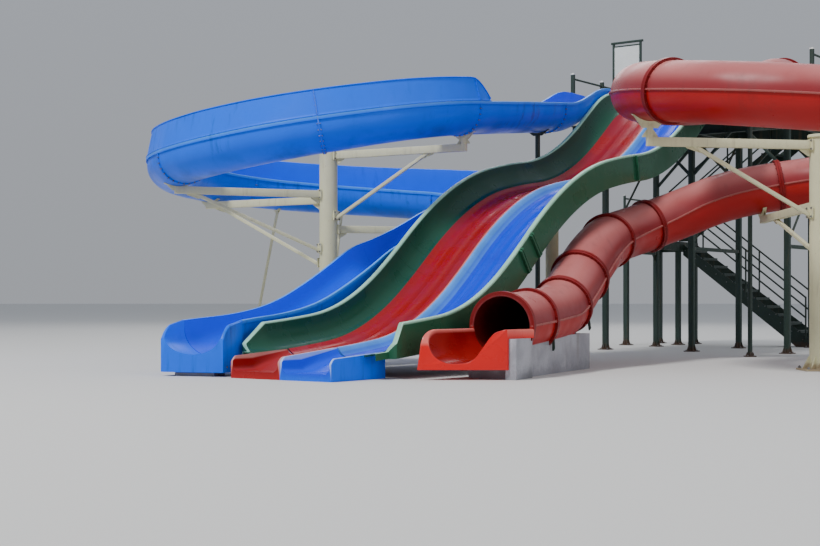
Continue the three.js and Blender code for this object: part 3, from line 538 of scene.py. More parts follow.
def pipes(name, lines, radius, material, sides):
    """Pipes along several lines, each with closed ends."""
    return grow(tree("Pipes along lines", pipe_tree), name, lines_mesh(name, lines), Radius=radius, Sides=sides,
                Material=material)


def sweep(name, line, distances, section, material):
    mesh = lines_mesh(name, [[line.at(d)[0] for d in distances]])
    return grow(tree("Section along line", section_tree), name, mesh, Section=section, Material=material)


class Steel:
    """Gathers welded steel members, their bolts and their anchor nuts."""

    def __init__(self, placing=None):
        self.bm = bmesh.new()
        self.placing = placing or Matrix.Identity(4)
        self.spots = []
        self.anchors = []

    def prism(self, corners, frame):
        """A closed body from two equal outlines in a frame."""
        closed_skin(self.bm, [[self.placing @ frame @ Vector(p) for p in row] for row in corners])

    def member(self, start, end, outline, far=None):
        """A straight member of one outline, or one that turns into another at its far end."""
        start, end = Vector(start), Vector(end)
        ahead = (end - start).normalized()
        side = Vector((1, 0, 0)) if abs(ahead.z) > 0.999 else ahead.cross(UP).normalized()
        reach = (end - start).length
        self.prism([[(x, 0, y) for x, y in outline], [(x, reach, y) for x, y in far or outline]],
                   axes(start, side, ahead, side.cross(ahead)))

    def bar(self, start, end, wide, deep):
        """A rectangular hollow section with eased corners."""
        ease = min(wide, deep) * 0.1
        outline = []
        for sx, sy, turn in ((1, 1, 0), (-1, 1, 90), (-1, -1, 180), (1, -1, 270)):
            for a in (math.radians(turn + step) for step in (0, 45, 90)):
                outline.append((sx * (wide / 2 - ease) + ease * math.cos(a),
                                sy * (deep / 2 - ease) + ease * math.sin(a)))
        self.member(start, end, outline)

    def joist(self, start, end, wide, deep, web=0.012, flange=0.016):
        """An I section, its web upright."""
        w, d, t, f = wide / 2, deep / 2, web / 2, flange
        self.member(start, end, [(-w, d), (-w, d - f), (-t, d - f), (-t, f - d), (-w, f - d), (-w, -d),
                                 (w, -d), (w, f - d), (t, f - d), (t, d - f), (w, d - f), (w, d)])

    def rod(self, start, end, radius, sides=20, tip=None):
        """A round bar, or a cone to a tip's radius."""
        turns = [2 * math.pi * i / sides for i in range(sides)]
        circle = lambda r: [(r * math.cos(a), r * math.sin(a)) for a in turns]
        self.member(start, end, circle(radius), circle(radius if tip is None else tip))

    def plate(self, outline, thickness, frame):
        """A flat plate: its outline in the frame's X and Y, its thickness along Z."""
        self.prism([[(x, y, -thickness / 2) for x, y in outline], [(x, y, thickness / 2) for x, y in outline]], frame)

    def block(self, low, high):
        """A box that is square to the frame, from its low to its high corner."""
        x0, y0, z0 = low
        x1, y1, z1 = high
        self.prism([[(x0, y0, z), (x1, y0, z), (x1, y1, z), (x0, y1, z)] for z in (z0, z1)], Matrix.Identity(4))

    def gusset(self, root, out, up, thickness=0.012, nip=0.02):
        """A triangular stiffener in the corner at root, its legs along out and up."""
        out, up = Vector(out), Vector(up)
        x, y = out.normalized(), up.normalized()
        a, b = out.length, up.length
        self.plate([(0, 0), (a, 0), (a, nip), (nip, b), (0, b)], thickness, axes(Vector(root), x, y, x.cross(y)))

    def bolt(self, at, aim, anchor=False):
        """The place of a bolt, or of an anchor nut, that points along aim."""
        at, aim = self.placing @ Vector(at), self.placing.to_3x3() @ Vector(aim)
        (self.anchors if anchor else self.spots).append((at, aim.normalized()))

    def base(self, x, y, side, thickness, radius, height=0.16, count=4):
        """A base plate with anchor nuts and stiffeners round a post."""
        h = side / 2
        self.block((x - h, y - h, 0), (x + h, y + h, thickness))
        for sx, sy in CORNERS:
            self.bolt((x + sx * (h - 0.045), y + sy * (h - 0.045), thickness), UP, anchor=True)
        for i in range(count):
            a = 2 * math.pi * i / count
            out = Vector((math.cos(a), math.sin(a), 0))
            reach = (h - 0.02) / max(abs(out.x), abs(out.y)) - radius
            self.gusset(Vector((x, y, thickness)) + out * (radius - 0.004), out * min(reach, 0.12), (0, 0, height))

    def finish(self, name, material, bolt=0.024, anchor=0.042):
        """The members as one piece in a named finish, with their bolts and anchor nuts."""
        made = finishes()
        return join(name, [to_piece(name, self.bm, made[material]),
                           bolts(name + "_bolts", self.spots, bolt, made["fastener"]),
                           bolts(name + "_anchors", self.anchors, anchor, made["fastener"])])

    def stand(self, node, slot, name=None, angle=38, **sizes):
        """The finished piece in place of a solid."""
        settle(self.finish(name or node + "_steel", slot, **sizes), slot, node, angle=angle)


def smooth_through(points, parts=4):
    """A smooth open curve through points."""
    out = []
    for i in range(len(points) - 1):
        p0 = points[max(i - 1, 0)]
        p1, p2 = points[i], points[i + 1]
        p3 = points[min(i + 2, len(points) - 1)]
        for k in range(parts):
            t = k / parts
            out.append(tuple(0.5 * (2 * b + (c - a) * t + (2 * a - 5 * b + 4 * c - d) * t * t
                                    + (3 * b - a - 3 * c + d) * t ** 3) for a, b, c, d in zip(p0, p1, p2, p3)))
    out.append(points[-1])
    return out


# Open flume
def bowl(sizes, offset, top=0.0, count=22):
    """The U of the flume, grown outwards by an offset."""
    half = sizes.half + offset
    deep = sizes.depth - sizes.straight + offset
    arc = [math.pi * i / count for i in range(count + 1)]
    return ([(half, top)] + [(half * math.cos(a), -sizes.straight - deep * math.sin(a)) for a in arc]
            + [(-half, top)])


def flume_section(sizes):
    """Laminate of the open flume with its rim rolled outwards and down: (points, inner marks, rim marks for a painted
    highlight).
    """
    lip, hem = sizes.half + sizes.lip, 0.009
    inside = bowl(sizes, 0.0, -0.006)
    left_rim = [(-sizes.half - 0.007, 0), (-lip + 0.008, 0), (-lip, -0.008), (-lip, -sizes.hem),
                (-lip + hem, -sizes.hem), (-lip + hem, -0.014), (-sizes.half - sizes.wall - 0.004, -0.014)]
    outside = list(reversed(bowl(sizes, sizes.wall, -0.026)))
    right_rim = [(-x, y) for x, y in reversed(left_rim)]
    points = inside + left_rim + outside + right_rim
    rest = len(points) - len(inside) - 6
    marks = [1.0] * len(inside) + [0.6] * 3 + [0.0] * rest + [0.6] * 3
    rims = [0.0] * len(inside) + [1.0] * 3 + [0.0] * rest + [1.0] * 3
    return points, marks, rims


def along_outline(points, spacing):
    """Points at an even spacing along an open outline."""
    out, carry = [], spacing / 2
    for (ax, ay), (bx, by) in zip(points, points[1:]):
        reach = math.hypot(bx - ax, by - ay)
        while carry < reach:
            t = carry / reach
            out.append((ax + (bx - ax) * t, ay + (by - ay) * t))
            carry += spacing
        carry -= reach
    return out


def flume_fins(bm, sizes, line, distance, spots):
    """Two bolted flanges under a joint of the open flume."""
    below = -sizes.hem - 0.004
    flange = bowl(sizes, sizes.wall - 0.003, below) + list(reversed(bowl(sizes, sizes.wall + sizes.fin, below)))
    for side in (-1, 1):
        d = distance + side * 0.008
        loft(bm, line, (d - 0.006, d + 0.006), lambda _: flange)
    ahead = line.at(distance)[1]
    for x, y in along_outline(bowl(sizes, sizes.wall + sizes.fin * 0.55, -sizes.hem - 0.02), 0.105):
        spots.append((line.place(distance + 0.0142, x, y), ahead))
        spots.append((line.place(distance - 0.0142, x, y), -ahead))


class SLIDE_OT_open_flume(Operator):
    """Build the open spiral flume in its nine lengths, with bolted joints"""
    bl_idname = "slide.open_flume"
    bl_label = "Open flume"

    def execute(self, context):
        sizes, made = context.scene.slide_flume, finishes()
        section = section_object("flume_section", *flume_section(sizes))
        last = len(OPEN_JOINTS) - 2
        for i, (start, end) in enumerate(zip(OPEN_JOINTS, OPEN_JOINTS[1:])):
            node = f"open_flume_{i + 1}"
            name = node + "_shell"
            stations = line_stations(open_line, start + (0.002 if i else 0), end - (0.002 if i < last else 0.0006),
                                     sizes.step)
            parts = [sweep(name, open_line, stations, section, made["blue_shell"])]
            if i < last:
                bm, spots = bmesh.new(), []
                flume_fins(bm, sizes, open_line, end, spots)
                parts += [to_piece(name + "_fins", bm, made["blue_shell"]),
                          bolts(name + "_bolts", spots, 0.02, made["fastener"])]
            settle(join(name, parts), "blue_shell", node)
        drop(section)
        return {"FINISHED"}


def exit_section(sizes, distance, reach, rim):
    """Outline of the last box: a U channel in a block with eased top edges, its front rounded down."""
    half, lip, part, ease = sizes.half, sizes.half + sizes.lip, distance / reach, 0.02
    top = rim - 0.16 * distance - max(0.0, distance - reach + 0.26) ** 2 / 0.42
    tuck = max(0.0, distance - reach + 0.006) * 0.8
    depth = 1 - 0.33 * part
    lift = rim - 0.13 * part
    channel = [(x, min(lift + y * depth, top - ease)) for x, y in bowl(sizes, 0.0, 0.0, 24)[1:-1]]
    left = [(-half, top - ease), (-half - 0.008, top), (-lip + 0.018, top), (-lip, top - 0.018),
            (-lip, EXIT_FOOT + 0.01), (-lip + 0.01, EXIT_FOOT)]
    right = [(-x, y) for x, y in reversed(left)]
    return [(x * (1 - tuck), y) for x, y in channel + left + right]


class SLIDE_OT_open_exit(Operator):
    """Build the open flume's last piece, a box with a rounded front, and its foot"""
    bl_idname = "slide.open_exit"
    bl_label = "Open flume exit"

    def execute(self, context):
        sizes, made = context.scene.slide_flume, finishes()
        start, ahead, left, _ = open_line.at(open_line.mark(22))
        heading = math.degrees(math.atan2(ahead.y, ahead.x))
        reach = open_line.length - open_line.mark(22)
        line = FlumeLine((start.x, start.y, 0), heading, [(reach, 0, 0)])
        bm = bmesh.new()
        distances = (spread(0.0006, reach - 0.27, 0.06) + spread(reach - 0.25, reach - 0.02, 0.02)
                     + [reach - 0.006, reach])
        loft(bm, line, distances, lambda d: exit_section(sizes, d, reach, start.z))
        spots = [(line.place(0.05 + 0.12 * i, side * (sizes.half + sizes.lip), 0.14), left * side)
                 for i in range(5) for side in (-1, 1)]
        settle(join("open_exit_box", [to_piece("open_exit_box", bm, made["blue_shell"]),
                                      bolts("open_exit_bolts", spots, 0.02, made["fastener"])]),
               "blue_shell", "open_exit")
        low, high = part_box("open_exit_foot")
        middle = (low + high) / 2
        turn = Matrix.Translation((middle.x, middle.y, 0)) @ Matrix.Rotation(math.radians(heading - 90), 4, "Z")
        foot = Steel()
        foot.prism([[(sx * (0.32 - c), sy * (0.18 - c), z) for sx, sy in ((-1, -1), (1, -1), (1, 1), (-1, 1))]
                    for z, c in ((0, 0), (high.z - 0.012, 0), (high.z, 0.012))], turn)
        foot.stand("open_exit_foot", "concrete", name="open_exit_block", angle=30)
        return {"FINISHED"}


GUARD_LEAN = 0.085              # how far the splash guard leans in over its full height
GUARD_LOW = 0.06                # how high it stands at its ends


def guard_section(sizes, height):
    """The splash guard: a foot on the rim, a panel that leans in and a rolled top edge."""
    half, lip = sizes.half, sizes.half + sizes.lip
    lean = GUARD_LEAN * height / sizes.guard
    outer = lambda y: half + 0.034 - lean * max(0.0, y - 0.016) / max(height - 0.016, 1e-6)
    top = [(outer(height) + 0.009 + 0.011 * math.cos(a), height - 0.011 + 0.011 * math.sin(a))
           for a in (math.radians(t) for t in (-80, -30, 20, 60, 90, 120, 160))]
    face = [(outer(y), y) for y in (0.034, 0.06, height * 0.4, height * 0.7, height - 0.024)]
    back = [(x - 0.022, y) for x, y in reversed(face)]
    return ([(half + 0.012, 0.003), (lip, 0.003), (lip, 0.016), (half + 0.044, 0.017), (half + 0.036, 0.022)]
            + face + top + [(outer(height) - 0.018, height - 0.012)] + back)


def guard(node, sizes, start, end, rise, fall):
    """A splash guard from start to end, which rises and falls over a length where that isn't 0."""
    def height_at(d):
        peak = sizes.guard + sizes.guard_growth * min(1.0, max(0.0, (d - OPEN_LEAD) / 5))
        up = min(1.0, (d - start) / rise) if rise else 1.0
        down = min(1.0, (end - d) / fall) if fall else 1.0
        return GUARD_LOW + (peak - GUARD_LOW) * math.sin(max(0.0, min(up, down)) * math.pi / 2)
    made, name, half = finishes(), node + "_shell", sizes.half
    bm, spots = bmesh.new(), []
    cuts = [start] + [d for d in OPEN_JOINTS if start + 0.1 < d < end - 0.1] + [end]
    for a, b in zip(cuts, cuts[1:]):
        loft(bm, open_line, spread(a + 0.0015, b - 0.0015, 0.1), lambda d: guard_section(sizes, height_at(d)))
    for joint in cuts[1:-1]:
        high = height_at(joint) - 0.03
        lean = GUARD_LEAN * high / sizes.guard
        fin = [(half + 0.03, 0.03), (half + 0.05, 0.03), (half + 0.05 - lean, high), (half + 0.03 - lean, high)]
        for side in (-1, 1):
            d = joint + side * 0.008
            loft(bm, open_line, (d - 0.005, d + 0.005), lambda _: fin)
        ahead = open_line.at(joint)[1]
        for i in range(4):
            y = 0.07 + (high - 0.1) * i / 3
            x = half + 0.044 - GUARD_LEAN * y / sizes.guard
            spots += [(open_line.place(joint + 0.013, x, y), ahead), (open_line.place(joint - 0.013, x, y), -ahead)]
    spots += [(open_line.place(d, half + 0.043, 0.0162), open_line.at(d)[3])
              for d in spread(start + 0.08, end - 0.08, 0.24)]
    settle(join(name, [to_piece(name, bm, made["blue_shell"]),
                       bolts(name + "_bolts", spots, 0.008, made["fastener"])]), "blue_shell", node)


class SLIDE_OT_splash_guard(Operator):
    """Build the splash guard along the spiral's outer rim"""
    bl_idname = "slide.splash_guard"
    bl_label = "Splash guard"

    def execute(self, context):
        sizes, middle = context.scene.slide_flume, open_bend_at(120)
        guard("splash_guard_front", sizes, open_bend_at(-2), middle - 0.0015, 0.42, 0)
        guard("splash_guard_back", sizes, middle + 0.0018, open_line.mark(13) + 0.9, 0, 0.5)
        return {"FINISHED"}


# Masts, arms and legs
def build_mast(node, x, y, top, sizes):
    """A round mast with a base plate and a cap."""
    radius = sizes.mast / 2
    steel = Steel()
    steel.rod((x, y, 0.01), (x, y, top), radius, 48)
    steel.base(x, y, sizes.plate, 0.03, radius, 0.2, 8)
    steel.rod((x, y, top - 0.02), (x, y, top + 0.012), radius + 0.03, 48)
    steel.rod((x, y, top + 0.012), (x, y, top + 0.025), radius + 0.03, 48, radius + 0.02)
    for z in (0.032, top - 0.028):
        steel.rod((x, y, z), (x, y, z + 0.012), radius + 0.012, 48, radius + 0.002)
    steel.stand(node, "cream_paint")


STRAP = 0.01                    # thickness of a saddle's strap
STRAP_GAP = 0.004               # between the strap and the flume


def cradle(steel, line, distance, outline_at, half_width, wide, sole):
    """A curved saddle strap on two webs, cut to the flume's outline."""
    curve = [(x, y) for x, y in outline_at(STRAP_GAP) if abs(x) < wide]
    under = [(x, y) for x, y in outline_at(STRAP_GAP + STRAP) if abs(x) < wide + STRAP]
    strap = curve + list(reversed(under))
    loft(steel.bm, line, (distance - half_width, distance + half_width), lambda _: strap)
    web = [(x, y) for x, y in outline_at(STRAP_GAP + STRAP - 0.002) if abs(x) < wide - 0.02]
    low = [(web[-1][0] * 0.45, sole), (web[0][0] * 0.45, sole)]
    for side in (-1, 1):
        d = distance + side * (half_width - 0.018)
        loft(steel.bm, line, (d - 0.005, d + 0.005), lambda _: web + low)


def build_arm(node, mast, line, distance, outline_at, sole, low, level, brace_at, width, sizes):
    """A bracket arm from a mast to the saddle under a flume, with its brace."""
    centre = Vector((*mast, 0))
    point, _, _, up = line.at(distance)
    head = point + up * (sole + 0.01)
    root = centre + UP * (level or head.z)
    tip = Vector((head.x, head.y, root.z))
    reach = (tip - root).normalized()
    side = reach.cross(UP)
    radius = sizes.mast / 2
    steel = Steel()
    start = root + reach * (radius + 0.02)
    steel.bar(start, tip + reach * 0.05, 0.1, 0.14)
    if abs(head.z - tip.z) > 0.05:
        steel.bar((tip.x, tip.y, tip.z - 0.05), (head.x, head.y, head.z + 0.03), 0.09, 0.09)
    joint = root.lerp(tip, brace_at)
    steel.bar(centre + UP * low + reach * (radius + 0.02), joint - UP * 0.05, 0.06, 0.06)
    for z in (root.z, low + 0.04):
        here = centre + UP * z
        steel.plate([(-0.1, -0.09), (0.1, -0.09), (0.1, 0.09), (-0.1, 0.09)], 0.02,
                    axes(here + reach * (radius + 0.012), side, UP, reach))
        steel.bar(here + reach * (radius - 0.02), here + reach * (radius + 0.004), 0.16, 0.14)
        for sx, sz in CORNERS:
            steel.bolt(here + reach * (radius + 0.022) + side * sx * 0.075 + UP * (sz * 0.066), reach)
    steel.gusset(start - UP * 0.07, reach * 0.16, -UP * 0.11, 0.01)
    steel.gusset(joint - UP * 0.068 - reach * 0.12, reach * 0.24, -UP * 0.09, 0.01)
    for s in (-1, 1):
        steel.gusset(tip + reach * s * 0.04 + UP * 0.065, reach * s * 0.09,
                     UP * max(0.06, min(0.12, head.z - tip.z)), 0.01)
    cradle(steel, line, distance, outline_at, 0.04, width, sole)
    steel.stand(node, "cream_paint")


def build_leg(node, line, distance, outline_at, sole, width, diameter, lean, material):
    """A leg from the floor to the saddle under a flume, its foot moved by a lean."""
    point, _, _, up = line.at(distance)
    head = point + up * (sole + 0.015)
    foot = Vector((head.x + lean, head.y, 0))
    steel = Steel()
    steel.rod(foot + UP * 0.012, head, diameter / 2, 28)
    steel.base(foot.x, foot.y, diameter + 0.12, 0.02, diameter / 2, 0.07, 4)
    cradle(steel, line, distance, outline_at, 0.035, width, sole)
    steel.stand(node, material, anchor=0.024)


class SLIDE_OT_open_supports(Operator):
    """Build the open flume's mast, arms and legs"""
    bl_idname = "slide.open_supports"
    bl_label = "Open flume supports"

    def execute(self, context):
        sizes, flume = context.scene.slide_steel, context.scene.slide_flume
        build_mast("open_mast", 0, 0, 4.06, sizes)
        under = -(flume.depth + flume.wall)
        outline_at = lambda offset: bowl(flume, flume.wall + offset, 0.0, 30)
        for name, distance, low, level, brace_at in (
                ("right", open_bend_at(2), 2.7, 3.9, 0.75), ("front_left", open_bend_at(128), 2.08, 0, 0.9),
                ("back_left", open_bend_at(182), 1.8, 0, 0.9), ("lower_right", open_line.mark(13) + 1.5, 1.5, 0, 0.75)):
            build_arm("open_arm_" + name, (0, 0), open_line, distance, outline_at, under - 0.08, low, level,
                      brace_at, 0.27, sizes)
        for name, distance, width, diameter, lean, material in (
                ("leg_back_left", open_bend_at(216), 0.18, 0.06, -0.56, "cream_paint"),
                ("leg_back_right", open_bend_at(243), 0.18, 0.06, -0.33, "cream_paint"),
                ("post_start", 3.9, 0.27, 0.1, 0, "green_paint"),
                ("post_run", open_line.mark(14) + 3.3, 0.27, 0.14, 0, "cream_paint")):
            build_leg("open_" + name, open_line, distance, outline_at, under - 0.06, width, diameter, lean, material)
        return {"FINISHED"}


# Racing slide
RIB = ((-0.014, 0), (-0.007, 0.005), (0.007, 0.005), (0.014, 0))


def lane_section(side):
    """One lane of the bed: raised ridge, flat floor with two fine ribs and a raised edge."""
    inner = smooth_through([(GAP / 2, -0.385), (0.04, -0.391), (0.11, -0.48), (0.19, -0.519), (0.25, -0.52)], 4)
    ribs = [(x + dx, -0.52 + dy) for x in (0.32, 0.61) for dx, dy in RIB]
    outer = smooth_through([(0.68, -0.52), (0.74, -0.519), (0.84, -0.49), (0.93, -0.42)], 4)
    below = [(0.93, -0.454), (0.842, -0.522), (0.744, -0.55), (0.186, -0.55), (0.084, -0.5), (GAP / 2, -0.43)]
    points = inner + ribs + outer + below
    # The rim marks along the ridge carry a painted highlight.
    rims = [1.0 if x < 0.075 and y > -0.44 else 0.5 if x < 0.13 and y > -0.5 else 0.0 for x, y in points]
    return [(side * x, y) for x, y in points], [1.0] * (len(points) - 6) + [0.0] * 6, rims


# By side, left and right: how far from the racing line's end a wall has its nose, over what length
# it falls to it, and where the wall ends
WALL_NOSE = {-1: 0.47, 1: 0.9}
WALL_FALL = {-1: 0.42, 1: 0.17}
WALL_TAIL = {-1: 0.33, 1: 0.58}
WALL_JOINTS = [5.03, 8.78, 9.1]


def wall_rise(distance, side):
    """How high a side wall stands: it falls to a nose, then to a low lip on the tray."""
    back = RACE_TOP - distance - WALL_NOSE[side]
    if back >= 0:
        return min(1.0, 0.35 + 0.65 * back / WALL_FALL[side])
    return 0.05 + 0.3 * math.sqrt(max(0.0, 1 - (back / 0.04) ** 2))


def wall_section(side, rise):
    """A side wall: curved face, rolled rim and a skirt outside; rise falls to the bed at the end."""
    edge, base = -0.42, 0.9303
    inner = smooth_through([(base, edge), (1.01, -0.388), (1.09, -0.3), (1.15, -0.17), (1.183, -0.035)], 5)
    rim = [(1.189, -0.014), (1.197, -0.003), (1.208, 0), (1.25, 0), (1.262, -0.004), (1.269, -0.012), (1.27, -0.024)]
    skirt = [(1.27, -0.044), (1.27, -0.25), (1.27, -0.485), (1.266, -0.5), (1.249, -0.5), (1.245, -0.485),
             (1.245, -0.04), (1.215, -0.04)]
    under = smooth_through([(1.178, -0.185), (1.115, -0.32), (1.025, -0.418), (base, edge - 0.034)], 3)
    wide = min(1.0, 0.55 + 1.3 * rise)
    return [(side * (base + (x - base) * wide), edge + (y - edge) * rise if y > edge else y)
            for x, y in inner + rim + skirt + under]


def lane_tray(name, side, material):
    """The tray at a lane's foot: a block to the floor, hollowed by a channel that widens to its lip."""
    line = FlumeLine(TOWER @ Vector((0, LANE_END - GAP, 0)), SLIDE_HEADING - 90, [(LANE_TRAY - GAP, 0, 0)])
    back = [(0.04, 0.415), (0.07, 0.372), (0.11, 0.322), (0.19, 0.282), (0.74, 0.282), (0.84, 0.31),
            (0.89, 0.345), (0.92, 0.372)]
    lip = [(0.036, 0.29), (0.042, 0.2), (0.062, 0.14), (0.12, 0.1), (0.83, 0.1), (0.88, 0.14), (0.892, 0.2),
           (0.896, 0.29)]
    def outline(d):
        drop_off = max(0.0, d - LANE_TRAY + 0.09) ** 2 / 0.12
        top = 0.385 - 0.07 * d / LANE_TRAY - drop_off
        ridge = 0.42 - 0.105 * d / LANE_TRAY - drop_off
        part = min(1.0, max(0.0, d / 0.8))
        channel = [(a + (c - a) * part, b + (e - b) * part) for (a, b), (c, e) in zip(back, lip)]
        round_in = smooth_through(channel[:4], 3) + smooth_through(channel[4:], 3)
        round_in = [(x, min(y, (ridge if x < 0.3 else top) - 0.004)) for x, y in round_in]
        first, last = round_in[0][0], round_in[-1][0]
        points = ([(GAP / 2, 0), (GAP / 2, ridge - 0.004), (GAP / 2 + 0.006, ridge), (first - 0.004, ridge)] + round_in
                  + [(last + 0.004, top), (0.918, top), (0.93, top - 0.012), (0.93, 0)])
        return [(side * x, y) for x, y in points]
    bm = bmesh.new()
    loft(bm, line, spread(0, 1.12, 0.04) + spread(1.13, 1.205, 0.0125) + [1.213, LANE_TRAY - GAP], outline)
    tray = to_piece(name, bm, material)
    count = len(outline(0))
    # The inner marks give the channel the tray's darker inside colour, a painted shade; the rim marks give its top
    # edges a painted highlight.
    mark_rows(tray, count, len(tray.data.vertices), inner=range(4, count - 4),
              rim=[2, 3, 4, count - 5, count - 4, count - 3])
    return tray


def joined_lengths(start, end):
    """The stretches between a start, the wall's joints and an end, as station lists."""
    cuts = [start] + [d for d in WALL_JOINTS if start + 0.1 < d < end - 0.1] + [end]
    stations = [line_stations(race_line, a + (0.001 if i else 0), b - 0.001, 0.12)
                for i, (a, b) in enumerate(zip(cuts, cuts[1:]))]
    return cuts[1:-1], stations


class SLIDE_OT_racing_slide(Operator):
    """Build the two racing lanes, their side walls and the trays at their feet"""
    bl_idname = "slide.racing_slide"
    bl_label = "Racing slide"

    def execute(self, context):
        made = finishes()
        for side, shade in ((-1, "red"), (1, "blue")):
            section = section_object(f"lane_{shade}_section", *lane_section(side))
            for level, start, end in (("upper", 0, RACE_JOINT),
                                      ("lower", RACE_JOINT + GAP, RACE_TOP - LANE_END - GAP)):
                node = f"lane_{shade}_{level}"
                parts = [sweep(f"{node}_{i}", race_line, stations, section, made[f"{shade}_lane"])
                         for i, stations in enumerate(joined_lengths(start, end)[1])]
                settle(join(node + "_bed", parts), f"{shade}_shell", node)
            drop(section)
            settle(lane_tray(f"tray_{shade}_block", side, made[f"{shade}_tray"]), f"{shade}_shell", f"tray_{shade}")
        for side, hand in ((-1, "left"), (1, "right")):
            self.wall(f"wall_{hand}_upper", side, 0, RACE_JOINT, made["green_shell"])
            self.wall(f"wall_{hand}_lower", side, RACE_JOINT + GAP, RACE_TOP - WALL_TAIL[side], made["green_shell"])
        return {"FINISHED"}

    def wall(self, node, side, start, end, material):
        """A side wall between two places on the racing line, with its jointed fins and bolts."""
        bm, spots, name = bmesh.new(), [], node + "_shell"
        nose = RACE_TOP - WALL_NOSE[side]
        joints, lengths = joined_lengths(start, end)
        for stations in lengths:
            if stations[-1] > nose:
                stations = ([d for d in stations if d < nose - 0.52] + spread(nose - 0.5, nose, 0.025)
                            + spread(nose + 0.008, nose + 0.04, 0.008) + [nose + 0.07, end - 0.005, end])
            loft(bm, race_line, stations, lambda d: wall_section(side, wall_rise(d, side)))
        body = len(bm.verts)
        fin = [(side * x, y) for x, y in ((1.268, -0.49), (1.318, -0.47), (1.318, -0.05), (1.295, -0.03),
                                          (1.268, -0.03))]
        for joint in joints:
            for step in (-0.022, 0.022):
                loft(bm, race_line, (joint + step - 0.015, joint + step + 0.015), lambda _: fin)
            ahead = race_line.at(joint)[1]
            for y in (-0.09, -0.19, -0.29, -0.39):
                spots += [(race_line.place(joint + 0.0372, side * 1.294, y), ahead),
                          (race_line.place(joint - 0.0372, side * 1.294, y), -ahead)]
        shell = to_piece(name, bm, material)
        # The rim marks carry a painted highlight on the rolled rim, with chalk.
        mark_rows(shell, len(wall_section(1, 1)), body, inner=range(22), rim=range(21, 28))
        settle(join(name, [shell, bolts(node + "_bolts", spots, 0.014, material)]), "green_shell", node)


class SLIDE_OT_racing_supports(Operator):
    """Build the two masts under the racing slide"""
    bl_idname = "slide.racing_supports"
    bl_label = "Racing slide supports"

    def execute(self, context):
        for node, distance in (("race_mast_upper", 6.02), ("race_mast_lower", 9.5)):
            self.mast(node, distance)
        return {"FINISHED"}

    def mast(self, node, distance):
        """A post with a wide head: a top plate on a web, two sloping plates and ribs between them."""
        under, half, core, radius = -0.55 - GAP, 0.9, 0.16, 0.12
        point, ahead, left, up = race_line.at(distance)
        seat = point + up * (under - 0.09)
        steel, here = Steel(), axes(point, left, up, -ahead)
        steel.rod((seat.x, seat.y, 0.015), seat, radius, 36)
        steel.base(seat.x, seat.y, 0.46, 0.024, radius, 0.16, 4)
        def plate(corners, thickness):
            steel.plate([(x, under - y) for x, y in corners], thickness, here)
        plate([(-half, 0.006), (half, 0.006), (half, 0.06), (core, 0.17), (-core, 0.17), (-half, 0.06)], 0.012)
        plate([(-half, 0.004), (half, 0.004), (half, 0.018), (-half, 0.018)], 0.12)
        for hand in (-1, 1):
            plate([(hand * half, 0.06), (hand * core, 0.17), (hand * core, 0.182), (hand * half, 0.072)], 0.12)
            for x in (0.35, 0.6, 0.85):
                deep = 0.06 + (half - x) / 0.74 * 0.11
                plate([(hand * x - 0.005, 0.012), (hand * x + 0.005, 0.012), (hand * x + 0.005, deep),
                       (hand * x - 0.005, deep)], 0.11)
                bolt = point + left * hand * x + up * (under - 0.0185)
                steel.bolt(bolt + ahead * 0.04, -up)
                steel.bolt(bolt - ahead * 0.04, -up)
        plate([(-core, 0.17), (core, 0.17), (core, 0.182), (-core, 0.182)], 0.24)
        steel.stand(node, "cream_paint")


# Closed tube
def half_tube(sizes, side):
    """Half of the tube's laminate with its seam flanges: (points, inner marks, flange marks)."""
    outer, inner, reach, thick = sizes.tube, sizes.tube - sizes.tube_wall, sizes.tube + sizes.seam, 0.011
    first = math.asin((thick + 0.006) / outer)
    arc = [first + (math.pi - 2 * first) * i / 26 for i in range(27)]
    points = [(reach, 0.0006), (reach, thick - 0.002), (reach - 0.002, thick), (outer + 0.006, thick)]
    points += [(outer * math.cos(a), outer * math.sin(a)) for a in arc]
    points += [(-outer - 0.006, thick), (-reach + 0.002, thick), (-reach, thick - 0.002), (-reach, 0.0006)]
    count = len(points)
    points += [(-inner * math.cos(a), inner * math.sin(a)) for a in [math.pi * i / 26 for i in range(27)]]
    points = [(x, max(y, 0.0006)) for x, y in points]
    flange = [1.0] * 4 + [0.0] * (count - 8) + [1.0] * 4 + [0.0] * 27
    return [(x, side * y) for x, y in points], [0.0] * count + [1.0] * 27, flange


